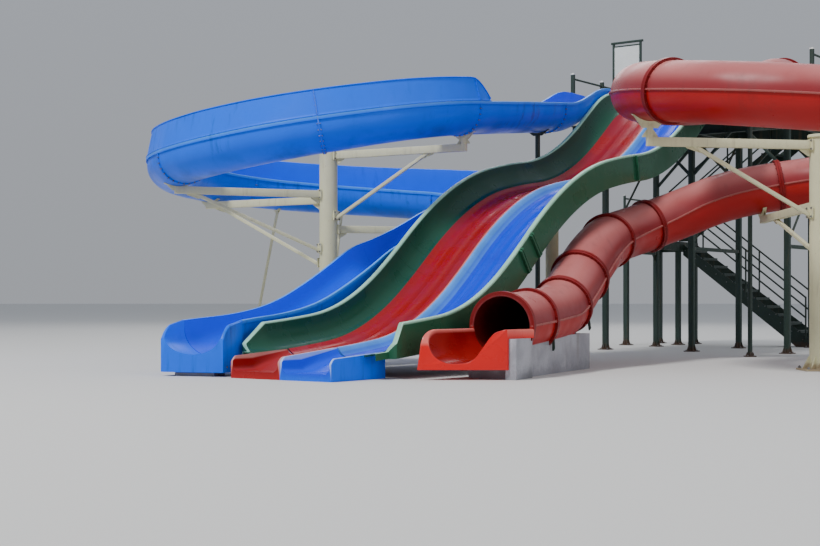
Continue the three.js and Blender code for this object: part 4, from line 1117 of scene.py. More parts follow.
class SLIDE_OT_closed_tube(Operator):
    """Build the closed tube from upper and lower halves, with bolted joint rings"""
    bl_idname = "slide.closed_tube"
    bl_label = "Closed tube"

    def execute(self, context):
        sizes, made = context.scene.slide_flume, finishes()
        sections, last = {}, len(TUBE_JOINTS) - 2
        for side, part in ((1, "upper"), (-1, "lower")):
            sections[part] = section_object(f"tube_{part}_section", *half_tube(sizes, side))
        for i, (start, end) in enumerate(zip(TUBE_JOINTS, TUBE_JOINTS[1:])):
            name = f"tube_{i + 1}_shell"
            stations = line_stations(tube_line, start + 0.001, end - 0.001, sizes.step)
            halves = [sweep(f"{name}_{part}", tube_line, stations, sections[part], made[f"tube_{part}"])
                      for part in ("upper", "lower")]
            placed, spots = [], []
            for d in ([0.05] if i == 0 else [start]) + [r for r in TUBE_RINGS if start < r < end]:
                ahead = tube_line.at(d)[1]
                for step in (-1, 1):
                    placed.append((tube_line.place(d + step * 0.0225, 0, 0), ahead))
                    for k in range(22):
                        a = 2 * math.pi * (k + 0.5) / 22
                        x, y = 0.483 * math.cos(a), 0.483 * math.sin(a)
                        spots.append((tube_line.place(d + step * 0.0437, x, y), ahead * step))
            if i == last:
                placed += [(tube_line.place(end - back, 0, 0), tube_line.at(end - back)[1])
                           for back in (0.0225, 0.0675)]
            seam_spots = []
            for d in spread(start + 0.12, end - 0.12, 0.3):
                up = tube_line.at(d)[3]
                seam_spots += [(tube_line.place(d, x * (sizes.tube + 0.015), y * 0.0112), up * y)
                               for x, y in CORNERS]
            if i == last:
                clamps = bmesh.new()
                for d in (start, end - 1.1, end - 0.06):
                    for side in (-1, 1):
                        tab = [(side * x, y) for x, y in ((0.385, -0.27), (0.425, -0.24), (0.425, -0.42),
                                                          (0.41, -0.45), (0.385, -0.45))]
                        loft(clamps, tube_line, (d - 0.012, d + 0.012), lambda _: tab)
                halves.append(to_piece(name + "_clamps", clamps, made["green_paint"]))
            parts = halves + [
                rings(name + "_rings", placed, sizes.tube - 0.01, sizes.tube_ring, 0.043, made["tube_ring"]),
                bolts(name + "_bolts", spots, 0.02, made["tube_ring"]),
                bolts(name + "_seam_bolts", seam_spots, 0.012, made["tube_seam"])]
            settle(join(name, parts), "red_shell", f"tube_{i + 1}")
        drop(*sections.values())
        return {"FINISHED"}


TUBE_TRAY = {"front": -7.45, "left": 1.67, "right": 2.93, "foot": 0.14, "top": 0.705, "nose": 0.23}
PLINTH_TOP = 0.575
TRAY_LIP = [(2.95, 1.6), (2.92, 0.708), (2.74, 0.65), (2.59, 0.46), (2.47, 0.3), (2.33, 0.235), (2.08, 0.235),
            (1.9, 0.34), (1.82, 0.52), (1.785, 0.64), (1.77, 1.6)]


def cut_and_space(points, low_enough, count):
    """The stretch of a 3-D line between its two crossings of a height, in equal steps."""
    inside = [p.z <= low_enough(p) for p in points]
    first, last = inside.index(True), len(inside) - 1 - inside[::-1].index(True)
    def crossing(out, within):
        a, b = out.z - low_enough(out), within.z - low_enough(within)
        return out.lerp(within, a / (a - b))
    kept = [crossing(points[first - 1], points[first])] + points[first:last + 1] + [
        crossing(points[last + 1], points[last])]
    reach = [0.0]
    for a, b in zip(kept, kept[1:]):
        reach.append(reach[-1] + (b - a).length)
    out, at = [], 0
    for i in range(count + 1):
        want = reach[-1] * i / count
        while at < len(kept) - 2 and reach[at + 1] < want:
            at += 1
        out.append(kept[at].lerp(kept[at + 1], (want - reach[at]) / max(reach[at + 1] - reach[at], 1e-9)))
    return out


def drawn_in(points, inset):
    """An upright outline drawn in all round by an inset, for an eased end."""
    count = len(points)
    area = sum(a.x * b.z - b.x * a.z for a, b in zip(points, points[1:] + points[:1]))
    sign = 1 if area > 0 else -1
    out = []
    for i, point in enumerate(points):
        along = points[(i + 1) % count] - points[i - 1]
        out.append(point + Vector((-along.z, 0, along.x)).normalized() * sign * inset)
    return out


def tube_tray(name, sizes, material):
    """The tube's tray: a block hollowed by a channel that turns from the bore to a low lip, its edges eased."""
    size, bore = TUBE_TRAY, sizes.tube - sizes.tube_wall
    mouth, ahead, left, _ = tube_line.at(tube_line.length)
    forward = Vector((ahead.x, ahead.y, 0)).normalized()
    beside = lambda x, z: Vector((*(mouth + left * x + forward * GAP).xy, z))
    turns = [-math.pi * i / 8 for i in range(9)]
    start = [(bore, 0.9)] + [(bore * math.cos(a), bore * math.sin(a)) for a in turns] + [(-bore, 0.9)]
    ease = 0.02
    def left_top(p):
        back = max(0.0, size["nose"] - (p.y - size["front"]))
        return size["top"] - size["nose"] + math.sqrt(max(0.0, size["nose"] ** 2 - back ** 2))
    def outline(part):
        sides = [beside(x, mouth.z + y).lerp(Vector((lx, size["front"], lz)), part)
                 for (x, y), (lx, lz) in zip(start, TRAY_LIP)]
        smooth = [sides[0]] + [Vector(p) for p in smooth_through([tuple(p) for p in sides[1:-1]], 4)] + [sides[-1]]
        middle = len(smooth) // 2
        easing = ease * (1 - part) + 0.004
        def height(p):
            return left_top(p) - ease if (p - smooth[middle]).dot(left) < 0 else size["top"] - easing
        channel = cut_and_space(smooth, height, 36)
        outer = lambda x, to, z: beside(x, z).lerp(Vector((to, size["front"], z)), part)
        right, over = outer(0.42, size["right"], 0), outer(0.5, size["right"] + 0.0004, 0)
        far = outer(-0.5, size["left"], 0)
        lean = left * (0.05 * part)
        near, wide = channel[0], (over - Vector((*channel[0].xy, 0))).length
        tip = min(ease, wide * 0.3)
        out = (over - Vector((*near.xy, 0))).normalized()
        top = size["top"]
        flat = lambda p, z: Vector((p.x, p.y, z))
        tops = [flat(right, size["foot"]), flat(right, PLINTH_TOP + GAP), flat(over, PLINTH_TOP + GAP + 0.0004),
                flat(over, top - easing), flat(over - out * tip * 0.3, top - easing * 0.3), flat(over - out * tip, top),
                flat(near + out * tip, top), flat(near + out * tip * 0.3, top - easing * 0.3)]
        end = channel[-1]
        away = (far - Vector((*end.xy, 0))).normalized()
        leant = far + lean
        high = end.z + ease
        ends = [flat(end + away * ease * 0.3, high - ease * 0.3), flat(end + away * ease, high),
                flat(leant - away * ease, high), flat(leant - away * ease * 0.3, high - ease * 0.3),
                flat(leant, high - ease), flat(far, size["foot"])]
        return tops + channel + ends
    bm = bmesh.new()
    inner, rim = bm.verts.layers.float.new("inner"), bm.verts.layers.float.new("rim")
    parts = spread(0, 0.55, 0.06) + spread(0.58, 0.98, 0.025) + [0.993]
    rows = closed_skin(bm, [outline(part) for part in parts] + [drawn_in(outline(1), 0.006)])
    # The inner marks give the channel the tray's darker inside colour, a painted shade; the rim marks give its top
    # edges a painted highlight.
    for row in rows[:-1]:
        for i, corner in enumerate(row):
            corner[inner] = 1.0 if 8 <= i <= 44 else 0.0
            corner[rim] = 1.0 if 3 <= i <= 8 or 44 <= i <= 49 else 0.0
    return to_piece(name, bm, material)


def eased_copy(name, node, ease, material):
    """A solid's own shape with its square edges eased."""
    solid = frame["nodes"][node]
    bm = bmesh.new()
    bm.from_mesh(solid.data)
    bm.transform(solid.matrix_world)
    bmesh.ops.remove_doubles(bm, verts=bm.verts, dist=0.00001)
    bmesh.ops.dissolve_limit(bm, angle_limit=math.radians(1), verts=bm.verts, edges=bm.edges)
    square = [edge for edge in bm.edges if len(edge.link_faces) == 2 and edge.is_convex
              and edge.calc_face_angle() > math.radians(60)]
    bmesh.ops.bevel(bm, geom=square, offset=ease, segments=2, affect="EDGES", clamp_overlap=True)
    bmesh.ops.triangulate(bm, faces=bm.faces)
    return to_piece(name, bm, material)


class SLIDE_OT_tube_exit(Operator):
    """Build the tray that the tube runs out into and the plinth under it"""
    bl_idname = "slide.tube_exit"
    bl_label = "Tube exit"

    def execute(self, context):
        made = finishes()
        settle(tube_tray("tube_exit_tray_shell", context.scene.slide_flume, made["tube_tray"]), "red_shell",
               "tube_exit_tray", angle=32)
        settle(eased_copy("tube_plinth_block", "tube_plinth", 0.012, made["concrete"]), "concrete", "tube_plinth",
               angle=20)
        return {"FINISHED"}


class SLIDE_OT_tube_supports(Operator):
    """Build the tube's mast, arms and the post beside the deck"""
    bl_idname = "slide.tube_supports"
    bl_label = "Tube supports"

    def execute(self, context):
        sizes, flume = context.scene.slide_steel, context.scene.slide_flume
        build_mast("tube_mast", *TUBE_MAST, 3.72, sizes)
        sole = -(flume.tube + 0.11)
        def outline_at(offset):
            radius = flume.tube + offset
            arc = [math.pi * i / 40 for i in range(41)]
            return [(radius * math.cos(a), -radius * math.sin(a)) for a in arc]
        for name, distance, low, level in (("left", tube_bend_at(46), 2.47, 3.58),
                                           ("right", tube_line.mark(7) + 0.2, 1.9, 2.9),
                                           ("back", tube_line.mark(10) - 0.06, 1.85, 2.64)):
            build_arm("tube_arm_" + name, TUBE_MAST, tube_line, distance, outline_at, sole, low, level, 0.75, 0.3,
                      sizes)
        build_leg("tube_post_deck", tube_line, 2.05, outline_at, sole + 0.04, 0.26, 0.09, 0, "green_paint")
        return {"FINISHED"}


# Start tower: all lengths in the deck's own frame
POST_ROWS = (-2.05, 0.05, 2.2)
FRONT_POSTS, BACK_POSTS = 13.33, 15.9
DECK = {"left": -2.9, "right": 2.8, "front": 13.2, "back": 16.1}
STAIR = {"rises": 13, "going": 0.275, "width": 0.9, "inner": 16.4, "outer": 17.5, "top": 1.2}


class SLIDE_OT_start_deck(Operator):
    """Build the start deck's floor and frame"""
    bl_idname = "slide.start_deck"
    bl_label = "Start deck"

    def execute(self, context):
        floor = Steel(TOWER)
        columns = spread(DECK["left"], DECK["right"], 0.95)
        ranks = spread(DECK["front"], DECK["back"], 0.97)
        for x0, x1 in zip(columns, columns[1:]):
            for y0, y1 in zip(ranks, ranks[1:]):
                floor.block((x0 + 0.002, y0 + 0.002, DECK_TOP - 0.04), (x1 - 0.002, y1 - 0.002, DECK_TOP))
        for y in (DECK["front"], DECK["back"] - 0.012):
            floor.block((DECK["left"], y, DECK_TOP - 0.05), (DECK["right"], y + 0.012, DECK_TOP - 0.002))
        for x in (DECK["left"], DECK["right"] - 0.012):
            floor.block((x, DECK["front"], DECK_TOP - 0.05), (x + 0.012, DECK["back"], DECK_TOP - 0.002))
        settle(floor.finish("deck_floor_panels", "deck"), "cream_paint", "deck_floor", angle=30)
        steel = Steel(TOWER)
        beam_top = DECK_TOP - 0.0503
        foot = beam_top - 0.4
        for y in (FRONT_POSTS, BACK_POSTS):
            steel.joist((DECK["left"], y, beam_top - 0.2), (DECK["right"], y, beam_top - 0.2), 0.12, 0.4)
            for x in spread(DECK["left"] + 0.2, DECK["right"] - 0.2, 0.9):
                steel.block((x - 0.005, y - 0.056, foot + 0.014), (x + 0.005, y + 0.056, beam_top - 0.014))
            for x in POST_ROWS:
                steel.bar((x, y, 0.01), (x, y, foot), 0.12, 0.12)
                steel.block((x - 0.1, y - 0.1, foot - 0.016), (x + 0.1, y + 0.1, foot))
                steel.base(x, y, 0.264, 0.02, 0.06, 0.12, 4)
            for a, b in zip(POST_ROWS, POST_ROWS[1:]):
                steel.bar((a, y, foot - 0.9), (a + 0.9, y, foot + 0.02), 0.06, 0.06)
                steel.bar((b, y, foot - 0.9), (b - 0.9, y, foot + 0.02), 0.06, 0.06)
        for x in POST_ROWS:
            steel.joist((x, FRONT_POSTS + 0.05, beam_top - 0.17), (x, BACK_POSTS - 0.05, beam_top - 0.17),
                        0.1, 0.33, 0.01, 0.012)
            steel.bar((x, FRONT_POSTS, 2.24), (x, BACK_POSTS, 2.24), 0.06, 0.08)
            steel.rod((x, FRONT_POSTS + 0.03, 2.3), (x, BACK_POSTS - 0.03, foot + 0.08), 0.025, 16)
            for y, way in ((FRONT_POSTS + 0.06, 1), (BACK_POSTS - 0.06, -1)):
                steel.gusset((x, y, 2.2), (0, 0.14 * way, 0), (0, 0, -0.14), 0.01)
                for z in (2.225, 2.255):
                    steel.bolt((x + 0.031, y + 0.05 * way, z), (1, 0, 0))
        steel.stand("tower_frame", "green_paint", bolt=0.02, anchor=0.026)
        return {"FINISHED"}


RAIL = 1.15                     # height of the posts of a rail
RAIL_PIPE = 0.022               # radius of the pipes of the landings' rails


def with_rails(node, steel, caps, lines, radius, sides, **sizes):
    """Steel, its post caps and its pipe rails as one piece in place of a solid."""
    name = node + "_steel"
    settle(join(name, [steel.finish(name, "green_paint", **sizes), caps.finish(node + "_caps", "cap"),
                       pipes(node + "_pipes", lines, radius, finishes()["green_paint"], sides)]), "green_paint", node)


def rail_run(node, points, sizes):
    """Posts with caps and base plates, joined by three level pipes."""
    foot = DECK_TOP + GAP
    steel, caps, lines = Steel(TOWER), Steel(TOWER), []
    for i, (x, y) in enumerate(points):
        steel.bar((x, y, foot + 0.004), (x, y, foot + RAIL), 0.08, 0.08)
        steel.block((x - 0.05, y - 0.05, foot), (x + 0.05, y + 0.05, foot + 0.008))
        caps.bar((x, y, foot + 1.128), (x, y, foot + 1.156), 0.09, 0.09)
        caps.rod((x, y, foot + 1.154), (x, y, foot + 1.17), 0.036, 16, 0.016)
        if i:
            px, py = points[i - 1]
            for h in (0.12, 0.5, 0.9):
                z = foot + RAIL * h
                reach = Vector((x - px, y - py, 0)).normalized() * 0.036
                lines.append([TOWER @ Vector((px + reach.x, py + reach.y, z)),
                              TOWER @ Vector((x - reach.x, y - reach.y, z))])
    with_rails(node, steel, caps, lines, sizes.rail / 2, sizes.rail_sides)


class SLIDE_OT_guard_rails(Operator):
    """Build the rails round the start deck"""
    bl_idname = "slide.guard_rails"
    bl_label = "Deck rails"

    def execute(self, context):
        sizes = context.scene.slide_steel
        left, right = DECK["left"] + 0.05, DECK["right"] - 0.05
        front, back = DECK["front"] + 0.06, DECK["back"] - 0.05
        middle = (front + back) / 2
        rail_run("guard_rail_left", [(left, front), (left, middle), (left, back), (-1.4, back), (0, back),
                                     (STAIR["top"] - 0.06, back)], sizes)
        rail_run("guard_rail_right", [(right, front), (right, middle), (right, back - 0.06)], sizes)
        return {"FINISHED"}


class SLIDE_OT_stairs(Operator):
    """Build the two flights of stairs and their landings"""
    bl_idname = "slide.stairs"
    bl_label = "Stairs and landings"

    def execute(self, context):
        sizes = context.scene.slide_steel
        run = (STAIR["rises"] - 1) * STAIR["going"]
        low, half = STAIR["top"] - run, DECK_TOP / 2
        self.flight("stair_lower_flight", STAIR["top"], low, 0, STAIR["outer"], sizes)
        self.flight("stair_upper_flight", low, STAIR["top"], half, STAIR["inner"], sizes)
        near, far = STAIR["inner"], STAIR["outer"] + STAIR["width"]
        x0, x1 = low - 1.1, low - GAP
        self.landing("stair_landing", x0, x1, near, far, half,
                     [(x0 + 0.06, near + 0.06), (x1 - 0.06, near + 0.96), (x0 + 0.06, far - 0.06),
                      (x1 - 0.06, far - 0.06)],
                     [(x0 + 0.03, near + 0.03, x0 + 0.03, far - 0.03), (x0 + 0.03, far - 0.03, x1 - 0.03, far - 0.03)],
                     sizes)
        x0, x1, y1 = STAIR["top"] + GAP, DECK["right"], STAIR["inner"] + STAIR["width"] + 0.06
        self.landing("top_landing", x0, x1, DECK["back"] + GAP, y1, DECK_TOP,
                     [(x0 + 0.06, y1 - 0.06), (x1 - 0.06, y1 - 0.06)],
                     [(x0 + 0.03, y1 - 0.03, x1 - 0.03, y1 - 0.03),
                      (x1 - 0.03, y1 - 0.03, x1 - 0.03, DECK["back"] + 0.04)], sizes)
        return {"FINISHED"}

    def flight(self, name, x0, x1, z0, y0, sizes):
        """A flight from x0 up to x1, with two stringers, open treads and a rail each side."""
        toward = 1 if x1 > x0 else -1
        y1, rise, top = y0 + STAIR["width"], DECK_TOP / 2 / STAIR["rises"], z0 + DECK_TOP / 2
        steel, lines = Steel(TOWER), []
        for y in (y0 + 0.02, y1 - 0.02):
            side = [(x0, z0 + GAP), (x0 + toward * 0.38, z0 + GAP), (x1 - toward * GAP, top - 0.33),
                    (x1 - toward * GAP, top - 0.06), (x0, z0 + 0.16)]
            upright = Matrix(((1, 0, 0, 0), (0, 0, 1, y), (0, 1, 0, 0), (0, 0, 0, 1)))
            steel.plate(side, 0.012, upright)
            foot = Vector((x0 + toward * 0.15, y, z0 + 0.1))
            head = Vector((x1 - toward * 0.15, y, top - 0.25))
            for point, h in ((foot, 1.1), (foot.lerp(head, 0.5), 1.15), (head, 1.2)):
                lines.append([TOWER @ point, TOWER @ (point + UP * h)])
            for h in (0.6, 1.08):
                lines.append([TOWER @ (foot + UP * h), TOWER @ (head + UP * (h + 0.1))])
        spots = []
        for i in range(1, STAIR["rises"]):
            x, z = x0 + toward * STAIR["going"] * (i - 0.5), z0 + rise * i - 0.02
            spots.append((TOWER @ Vector((x, (y0 + y1) / 2, z)), UP))
            for y, way in ((y0 + 0.013, -1), (y1 - 0.013, 1)):
                for dx in (-0.08, 0.08):
                    steel.bolt((x + dx, y, z), (0, way, 0))
        back = TOWER.to_3x3() @ Vector((-toward * 0.12, 0, -0.028))
        nose_spots = [(at + back, aim) for at, aim in spots]
        green = finishes()["green_paint"]
        treads, noses = (grow(tree("Stair treads", tread_tree), name + part, aim_mesh(name + part, places),
                              Size=size, Material=green)
                         for part, places, size in (("_treads", spots, (0.265, STAIR["width"] - 0.052, 0.036)),
                                                    ("_noses", nose_spots, (0.012, STAIR["width"] - 0.054, 0.04))))
        whole = join(name + "_steel", [steel.finish(name + "_steel", "green_paint", bolt=0.014), treads, noses,
                                       pipes(name + "_rails", lines, 0.021, green, sizes.rail_sides)])
        settle(whole, "green_paint", name)

    def landing(self, name, x0, x1, y0, y1, top, posts, rails_at, sizes):
        """A landing's floor, its edge beams, posts to the floor and rails between ends (x, y, x, y)."""
        steel, caps, lines = Steel(TOWER), Steel(TOWER), []
        steel.block((x0, y0, top - 0.03), (x1, y1, top))
        for low, high in (((x0, y0), (x1, y0 + 0.06)), ((x0, y1 - 0.06), (x1, y1)), ((x0, y0), (x0 + 0.06, y1)),
                          ((x1 - 0.06, y0), (x1, y1))):
            steel.block((*low, top - 0.22), (*high, top - 0.02))
        for x, y in posts:
            steel.bar((x, y, 0.01), (x, y, top - 0.06), 0.12, 0.12)
            steel.base(x, y, 0.264, 0.02, 0.06, 0.12, 4)
        for x, y, px, py in rails_at:
            for ax, ay in ((x, y), (px, py)):
                steel.bar((ax, ay, top - 0.02), (ax, ay, top + RAIL), 0.05, 0.05)
                caps.bar((ax, ay, top + 1.14), (ax, ay, top + 1.158), 0.056, 0.056)
            for h in (0.5, 0.93):
                lines.append([TOWER @ Vector((x, y, top + RAIL * h)), TOWER @ Vector((px, py, top + RAIL * h))])
        with_rails(name, steel, caps, lines, RAIL_PIPE, sizes.rail_sides, anchor=0.026)


class SLIDE_OT_notice_board(Operator):
    """Build the bare notice board at the back of the deck"""
    bl_idname = "slide.notice_board"
    bl_label = "Notice board"

    def execute(self, context):
        x0, x1, y, foot = -2.64, -1.94, 14.85, DECK_TOP + GAP
        steel, panel = Steel(TOWER), Steel(TOWER)
        for x in (x0, x1):
            steel.bar((x, y, foot + 0.006), (x, y, foot + 2.06), 0.05, 0.05)
            steel.block((x - 0.06, y - 0.06, foot), (x + 0.06, y + 0.06, foot + 0.008))
            for dx in (-0.04, 0.04):
                steel.bolt((x + dx, y + 0.04, foot + 0.008), UP)
        steel.bar((x0 - 0.06, y, foot + 2.055), (x1 + 0.06, y, foot + 2.055), 0.06, 0.05)
        for z in (foot + 1.13, foot + 1.97):
            steel.bar((x0, y, z), (x1, y, z), 0.03, 0.03)
        panel.block((x0 + 0.02, y - 0.008, foot + 1.14), (x1 - 0.02, y + 0.008, foot + 1.96))
        settle(join("notice_board_steel", [steel.finish("notice_board_steel", "green_paint", bolt=0.016),
                                           panel.finish("notice_board_panel", "board")]), "board", "notice_board")
        return {"FINISHED"}


# Finishes
def mix(graph, factor, first, second):
    """A colour mixed from two by a mask."""
    return graph.add("ShaderNodeMix", {0: factor, 6: first, 7: second}, data_type="RGBA").outputs[2]


def span(graph, value, low, high, to_low=0.0, to_high=1.0):
    """A value eased from one range to another."""
    node = graph.add("ShaderNodeMapRange", {"Value": value, "From Min": low, "From Max": high, "To Min": to_low,
                                            "To Max": to_high}, interpolation_type="SMOOTHSTEP")
    return node.outputs[0]


def times(graph, first, second):
    """Two masks multiplied."""
    return graph.maths("MULTIPLY", first, second, clamp=True)


def noise(graph, place, scale, detail, **inputs):
    """Soft noise at a scale."""
    return graph.add("ShaderNodeTexNoise", {"Vector": place, "Scale": scale, "Detail": detail, **inputs}).outputs[0]


def facing_up(graph):
    """How far a face looks up: 1 for straight up, -1 for straight down."""
    return graph.add("ShaderNodeSeparateXYZ", {0: graph.add("ShaderNodeNewGeometry").outputs["Normal"]}).outputs[2]


def mask_group(name, inputs, mask_of):
    """A shader group that puts out one mask, made by mask_of from the graph, the inputs and the place."""
    graph, entry, out = node_tree(name, "ShaderNodeTree", [(label, "Float", value) for label, value in inputs.items()],
                                  [("Mask", "Float", None)])
    place = graph.add("ShaderNodeTexCoord").outputs["Object"]
    graph.link(mask_of(graph, entry.outputs, place), out.inputs[0])
    return graph.tree


def top_weather_and_sunlight_group():
    """What faces the sky, broken up by soft patches: fading and chalk, and on the tube's top a painted sunlight."""
    def mask(graph, values, place):
        up = span(graph, facing_up(graph), values["From"], 0.85)
        patches = noise(graph, place, values["Patch size"], 5)
        return times(graph, up, span(graph, patches, 0.32, 0.68, 0.55, 1.0))
    return mask_group("Weathered and sunlit tops", {"Patch size": 0.7, "From": -0.15}, mask)


def streak_group():
    """Dirty runs that hang down a face, thicker in some places."""
    def mask(graph, values, place):
        stretch = graph.add("ShaderNodeCombineXYZ", {0: values["Across"], 1: values["Across"], 2: values["Down"]})
        drawn = graph.add("ShaderNodeVectorMath", {0: place, 1: stretch.outputs[0]}, operation="MULTIPLY")
        lines = noise(graph, drawn.outputs[0], 1.0, 6, Roughness=0.6)
        broad = noise(graph, place, 0.55, 3)
        return times(graph, span(graph, lines, 0.5, 0.72), span(graph, broad, 0.42, 0.66))
    return mask_group("Dirty runs", {"Across": 9.0, "Down": 0.8}, mask)


def underside_stain_and_shade_group():
    """Damp and mould in patches on what faces the floor, darker there also as a painted shade."""
    def mask(graph, values, place):
        patches = noise(graph, place, values["Patch size"], 6, Roughness=0.6)
        return times(graph, span(graph, facing_up(graph), -0.35, -0.95), span(graph, patches, 0.42, 0.7))
    return mask_group("Underside stains and shade", {"Patch size": 1.1}, mask)


def foot_group():
    """Splashes and rust that rise from the floor."""
    def mask(graph, values, place):
        height = graph.add("ShaderNodeSeparateXYZ", {0: place}).outputs[2]
        spots = noise(graph, place, 7.0, 6, Roughness=0.65)
        part = graph.maths("DIVIDE", height, values["Height"])
        return span(graph, graph.maths("SUBTRACT", spots, part), 0.1, 0.42)
    return mask_group("Foot stains", {"Height": 0.35}, mask)


def grain_group():
    """Fine mottling, coarse mottling and a bumped normal."""
    graph, entry, out = node_tree("Surface grain", "ShaderNodeTree",
                                  [("Fine", "Float", 55.0), ("Coarse", "Float", 3.0), ("Bump", "Float", 0.04)],
                                  [("Fine", "Float", None), ("Coarse", "Float", None), ("Normal", "Vector", None)])
    place = graph.add("ShaderNodeTexCoord").outputs["Object"]
    fine = noise(graph, place, entry.outputs["Fine"], 4)
    coarse = noise(graph, place, entry.outputs["Coarse"], 5)
    swell = noise(graph, place, entry.outputs["Coarse"], 1)
    strength = entry.outputs["Bump"]
    bump = graph.add("ShaderNodeBump", {"Strength": strength, "Distance": 0.02, "Height": fine})
    wave = graph.add("ShaderNodeBump", {"Strength": strength, "Distance": 0.12, "Height": swell,
                                        "Normal": bump.outputs[0]})
    for i, socket in enumerate((fine, coarse, wave.outputs[0])):
        graph.link(socket, out.inputs[i])
    return graph.tree


def use(graph, name, make, **inputs):
    """Places a shader group with a material's own values."""
    node = graph.add("ShaderNodeGroup", node_tree=tree(name, make))
    for key, value in inputs.items():
        node.inputs[key.replace("_", " ")].default_value = value
    return node.outputs


def new_material(name, roughness, metallic=0.0):
    """A new material, its graph and its surface's inputs."""
    material = bpy.data.materials.new(name)
    material.use_nodes = True
    surface = material.node_tree.nodes["Principled BSDF"].inputs
    surface["Roughness"].default_value = roughness
    surface["Metallic"].default_value = metallic
    return material, Graph(material.node_tree), surface


def scaled_colour(value, factor):
    """A colour made darker or lighter."""
    return (value[0] * factor, value[1] * factor, value[2] * factor, 1.0)


def gelcoat(name, base, faded, dirt, inner, rim, fade, grime_and_shade, roughness, specular=0.3, fade_from=-0.15,
            edge_part=0.75):
    """Glossy laminate: lighter facing the sky (fading; painted sunlight on the tube's top), stained in runs, stained
    and painted shade below, its own colour inside (painted shade in the trays), a rim colour on marked edges (painted
    highlight on rims, ridges and tray edges).
    """
    material, graph, surface = new_material(name, roughness)
    surface["Specular IOR Level"].default_value = specular
    grain = use(graph, "Surface grain", grain_group, Fine=60.0, Coarse=1.6, Bump=0.02)
    # Lighter on what faces the sky: fading, and on the tube's top a painted sunlight.
    sun = use(graph, "Weathered and sunlit tops", top_weather_and_sunlight_group, Patch_size=0.8, From=fade_from)[0]
    runs = use(graph, "Dirty runs", streak_group, Across=7.0, Down=0.9)[0]
    # Stains and a painted shade in patches on what faces the floor.
    below = use(graph, "Underside stains and shade", underside_stain_and_shade_group, Patch_size=1.1)[0]
    side, edge = (graph.add("ShaderNodeAttribute", attribute_name=label).outputs["Fac"] for label in ("inner", "rim"))
    outside = mix(graph, times(graph, sun, fade), base, faded)
    # The inside colour is a painted shade in the trays.
    inside = mix(graph, times(graph, sun, fade * 0.35), inner or scaled_colour(base, 0.85), faded)
    body = mix(graph, side, outside, inside)
    # The rim colour is a painted highlight on marked rims, ridges and tray edges, with chalk on the green walls; on the
    # tube it colours the seam flanges.
    edged = mix(graph, times(graph, edge, edge_part), body, rim or faded)
    mottled = mix(graph, span(graph, grain["Coarse"], 0.35, 0.7, 0.0, 0.2), edged, scaled_colour(base, 0.75))
    fresh = graph.maths("SUBTRACT", 1.0, side)
    # The dirt colour in runs, and on what faces the floor both stains and a painted shade.
    dirty_and_shaded = graph.maths("MAXIMUM", times(graph, runs, grime_and_shade * 0.7), times(graph, below, grime_and_shade * 0.6))
    graph.link(mix(graph, times(graph, dirty_and_shaded, fresh), mottled, dirt), surface["Base Color"])
    graph.link(span(graph, grain["Coarse"], 0.3, 0.7, roughness - 0.08, roughness + 0.16), surface["Roughness"])
    graph.link(grain["Normal"], surface["Normal"])
    return material


def painted_steel(name, base, rust, dust=0.35):
    """Brushed-on paint over steel, chalky above, rusty at its foot and in a few spots."""
    material, graph, surface = new_material(name, 0.55)
    grain = use(graph, "Surface grain", grain_group, Fine=38.0, Coarse=4.0, Bump=0.06)
    sun = use(graph, "Weathered and sunlit tops", top_weather_and_sunlight_group, Patch_size=1.6)[0]
    runs = use(graph, "Dirty runs", streak_group, Across=16.0, Down=1.4)[0]
    foot = use(graph, "Foot stains", foot_group, Height=0.4)[0]
    chalk = tuple(0.55 * c + 0.45 * w for c, w in zip(base, srgb(220, 214, 196)))
    lit = mix(graph, times(graph, sun, dust), base, chalk)
    mottled = mix(graph, span(graph, grain["Coarse"], 0.4, 0.75, 0.0, 0.3), lit, scaled_colour(base, 0.78))
    run_down = mix(graph, times(graph, runs, 0.4), mottled, srgb(120, 98, 70))
    spots = times(graph, span(graph, grain["Fine"], 0.68, 0.76), 0.8)
    rusty = graph.maths("MAXIMUM", spots, foot)
    graph.link(mix(graph, times(graph, rusty, rust), run_down, srgb(116, 62, 34)), surface["Base Color"])
    graph.link(span(graph, grain["Fine"], 0.3, 0.7, 0.42, 0.68), surface["Roughness"])
    graph.link(grain["Normal"], surface["Normal"])
    return material


def cast_concrete(name, base):
    """Rendered concrete with pores, patches and damp stains."""
    material, graph, surface = new_material(name, 0.85)
    grain = use(graph, "Surface grain", grain_group, Fine=70.0, Coarse=2.2, Bump=0.25)
    foot = use(graph, "Foot stains", foot_group, Height=0.5)[0]
    runs = use(graph, "Dirty runs", streak_group, Across=5.0, Down=0.7)[0]
    patched = mix(graph, span(graph, grain["Coarse"], 0.35, 0.7), base, scaled_colour(base, 0.72))
    speckled = mix(graph, span(graph, grain["Fine"], 0.45, 0.75, 0.0, 0.5), patched, scaled_colour(base, 0.55))
    damp = mix(graph, times(graph, foot, 0.45), speckled, scaled_colour(base, 0.4))
    graph.link(mix(graph, times(graph, runs, 0.5), damp, srgb(120, 108, 96)), surface["Base Color"])
    graph.link(grain["Normal"], surface["Normal"])
    return material


def galvanised(name):
    """Bolt heads: dull zinc with a little rust."""
    material, graph, surface = new_material(name, 0.45, metallic=0.7)
    grain = use(graph, "Surface grain", grain_group, Fine=140.0, Coarse=9.0, Bump=0.05)
    zinc = mix(graph, span(graph, grain["Fine"], 0.4, 0.7), srgb(150, 150, 150), srgb(110, 108, 106))
    rusty = span(graph, grain["Coarse"], 0.55, 0.7, 0.0, 0.8)
    graph.link(mix(graph, rusty, zinc, srgb(112, 66, 40)), surface["Base Color"])
    return material
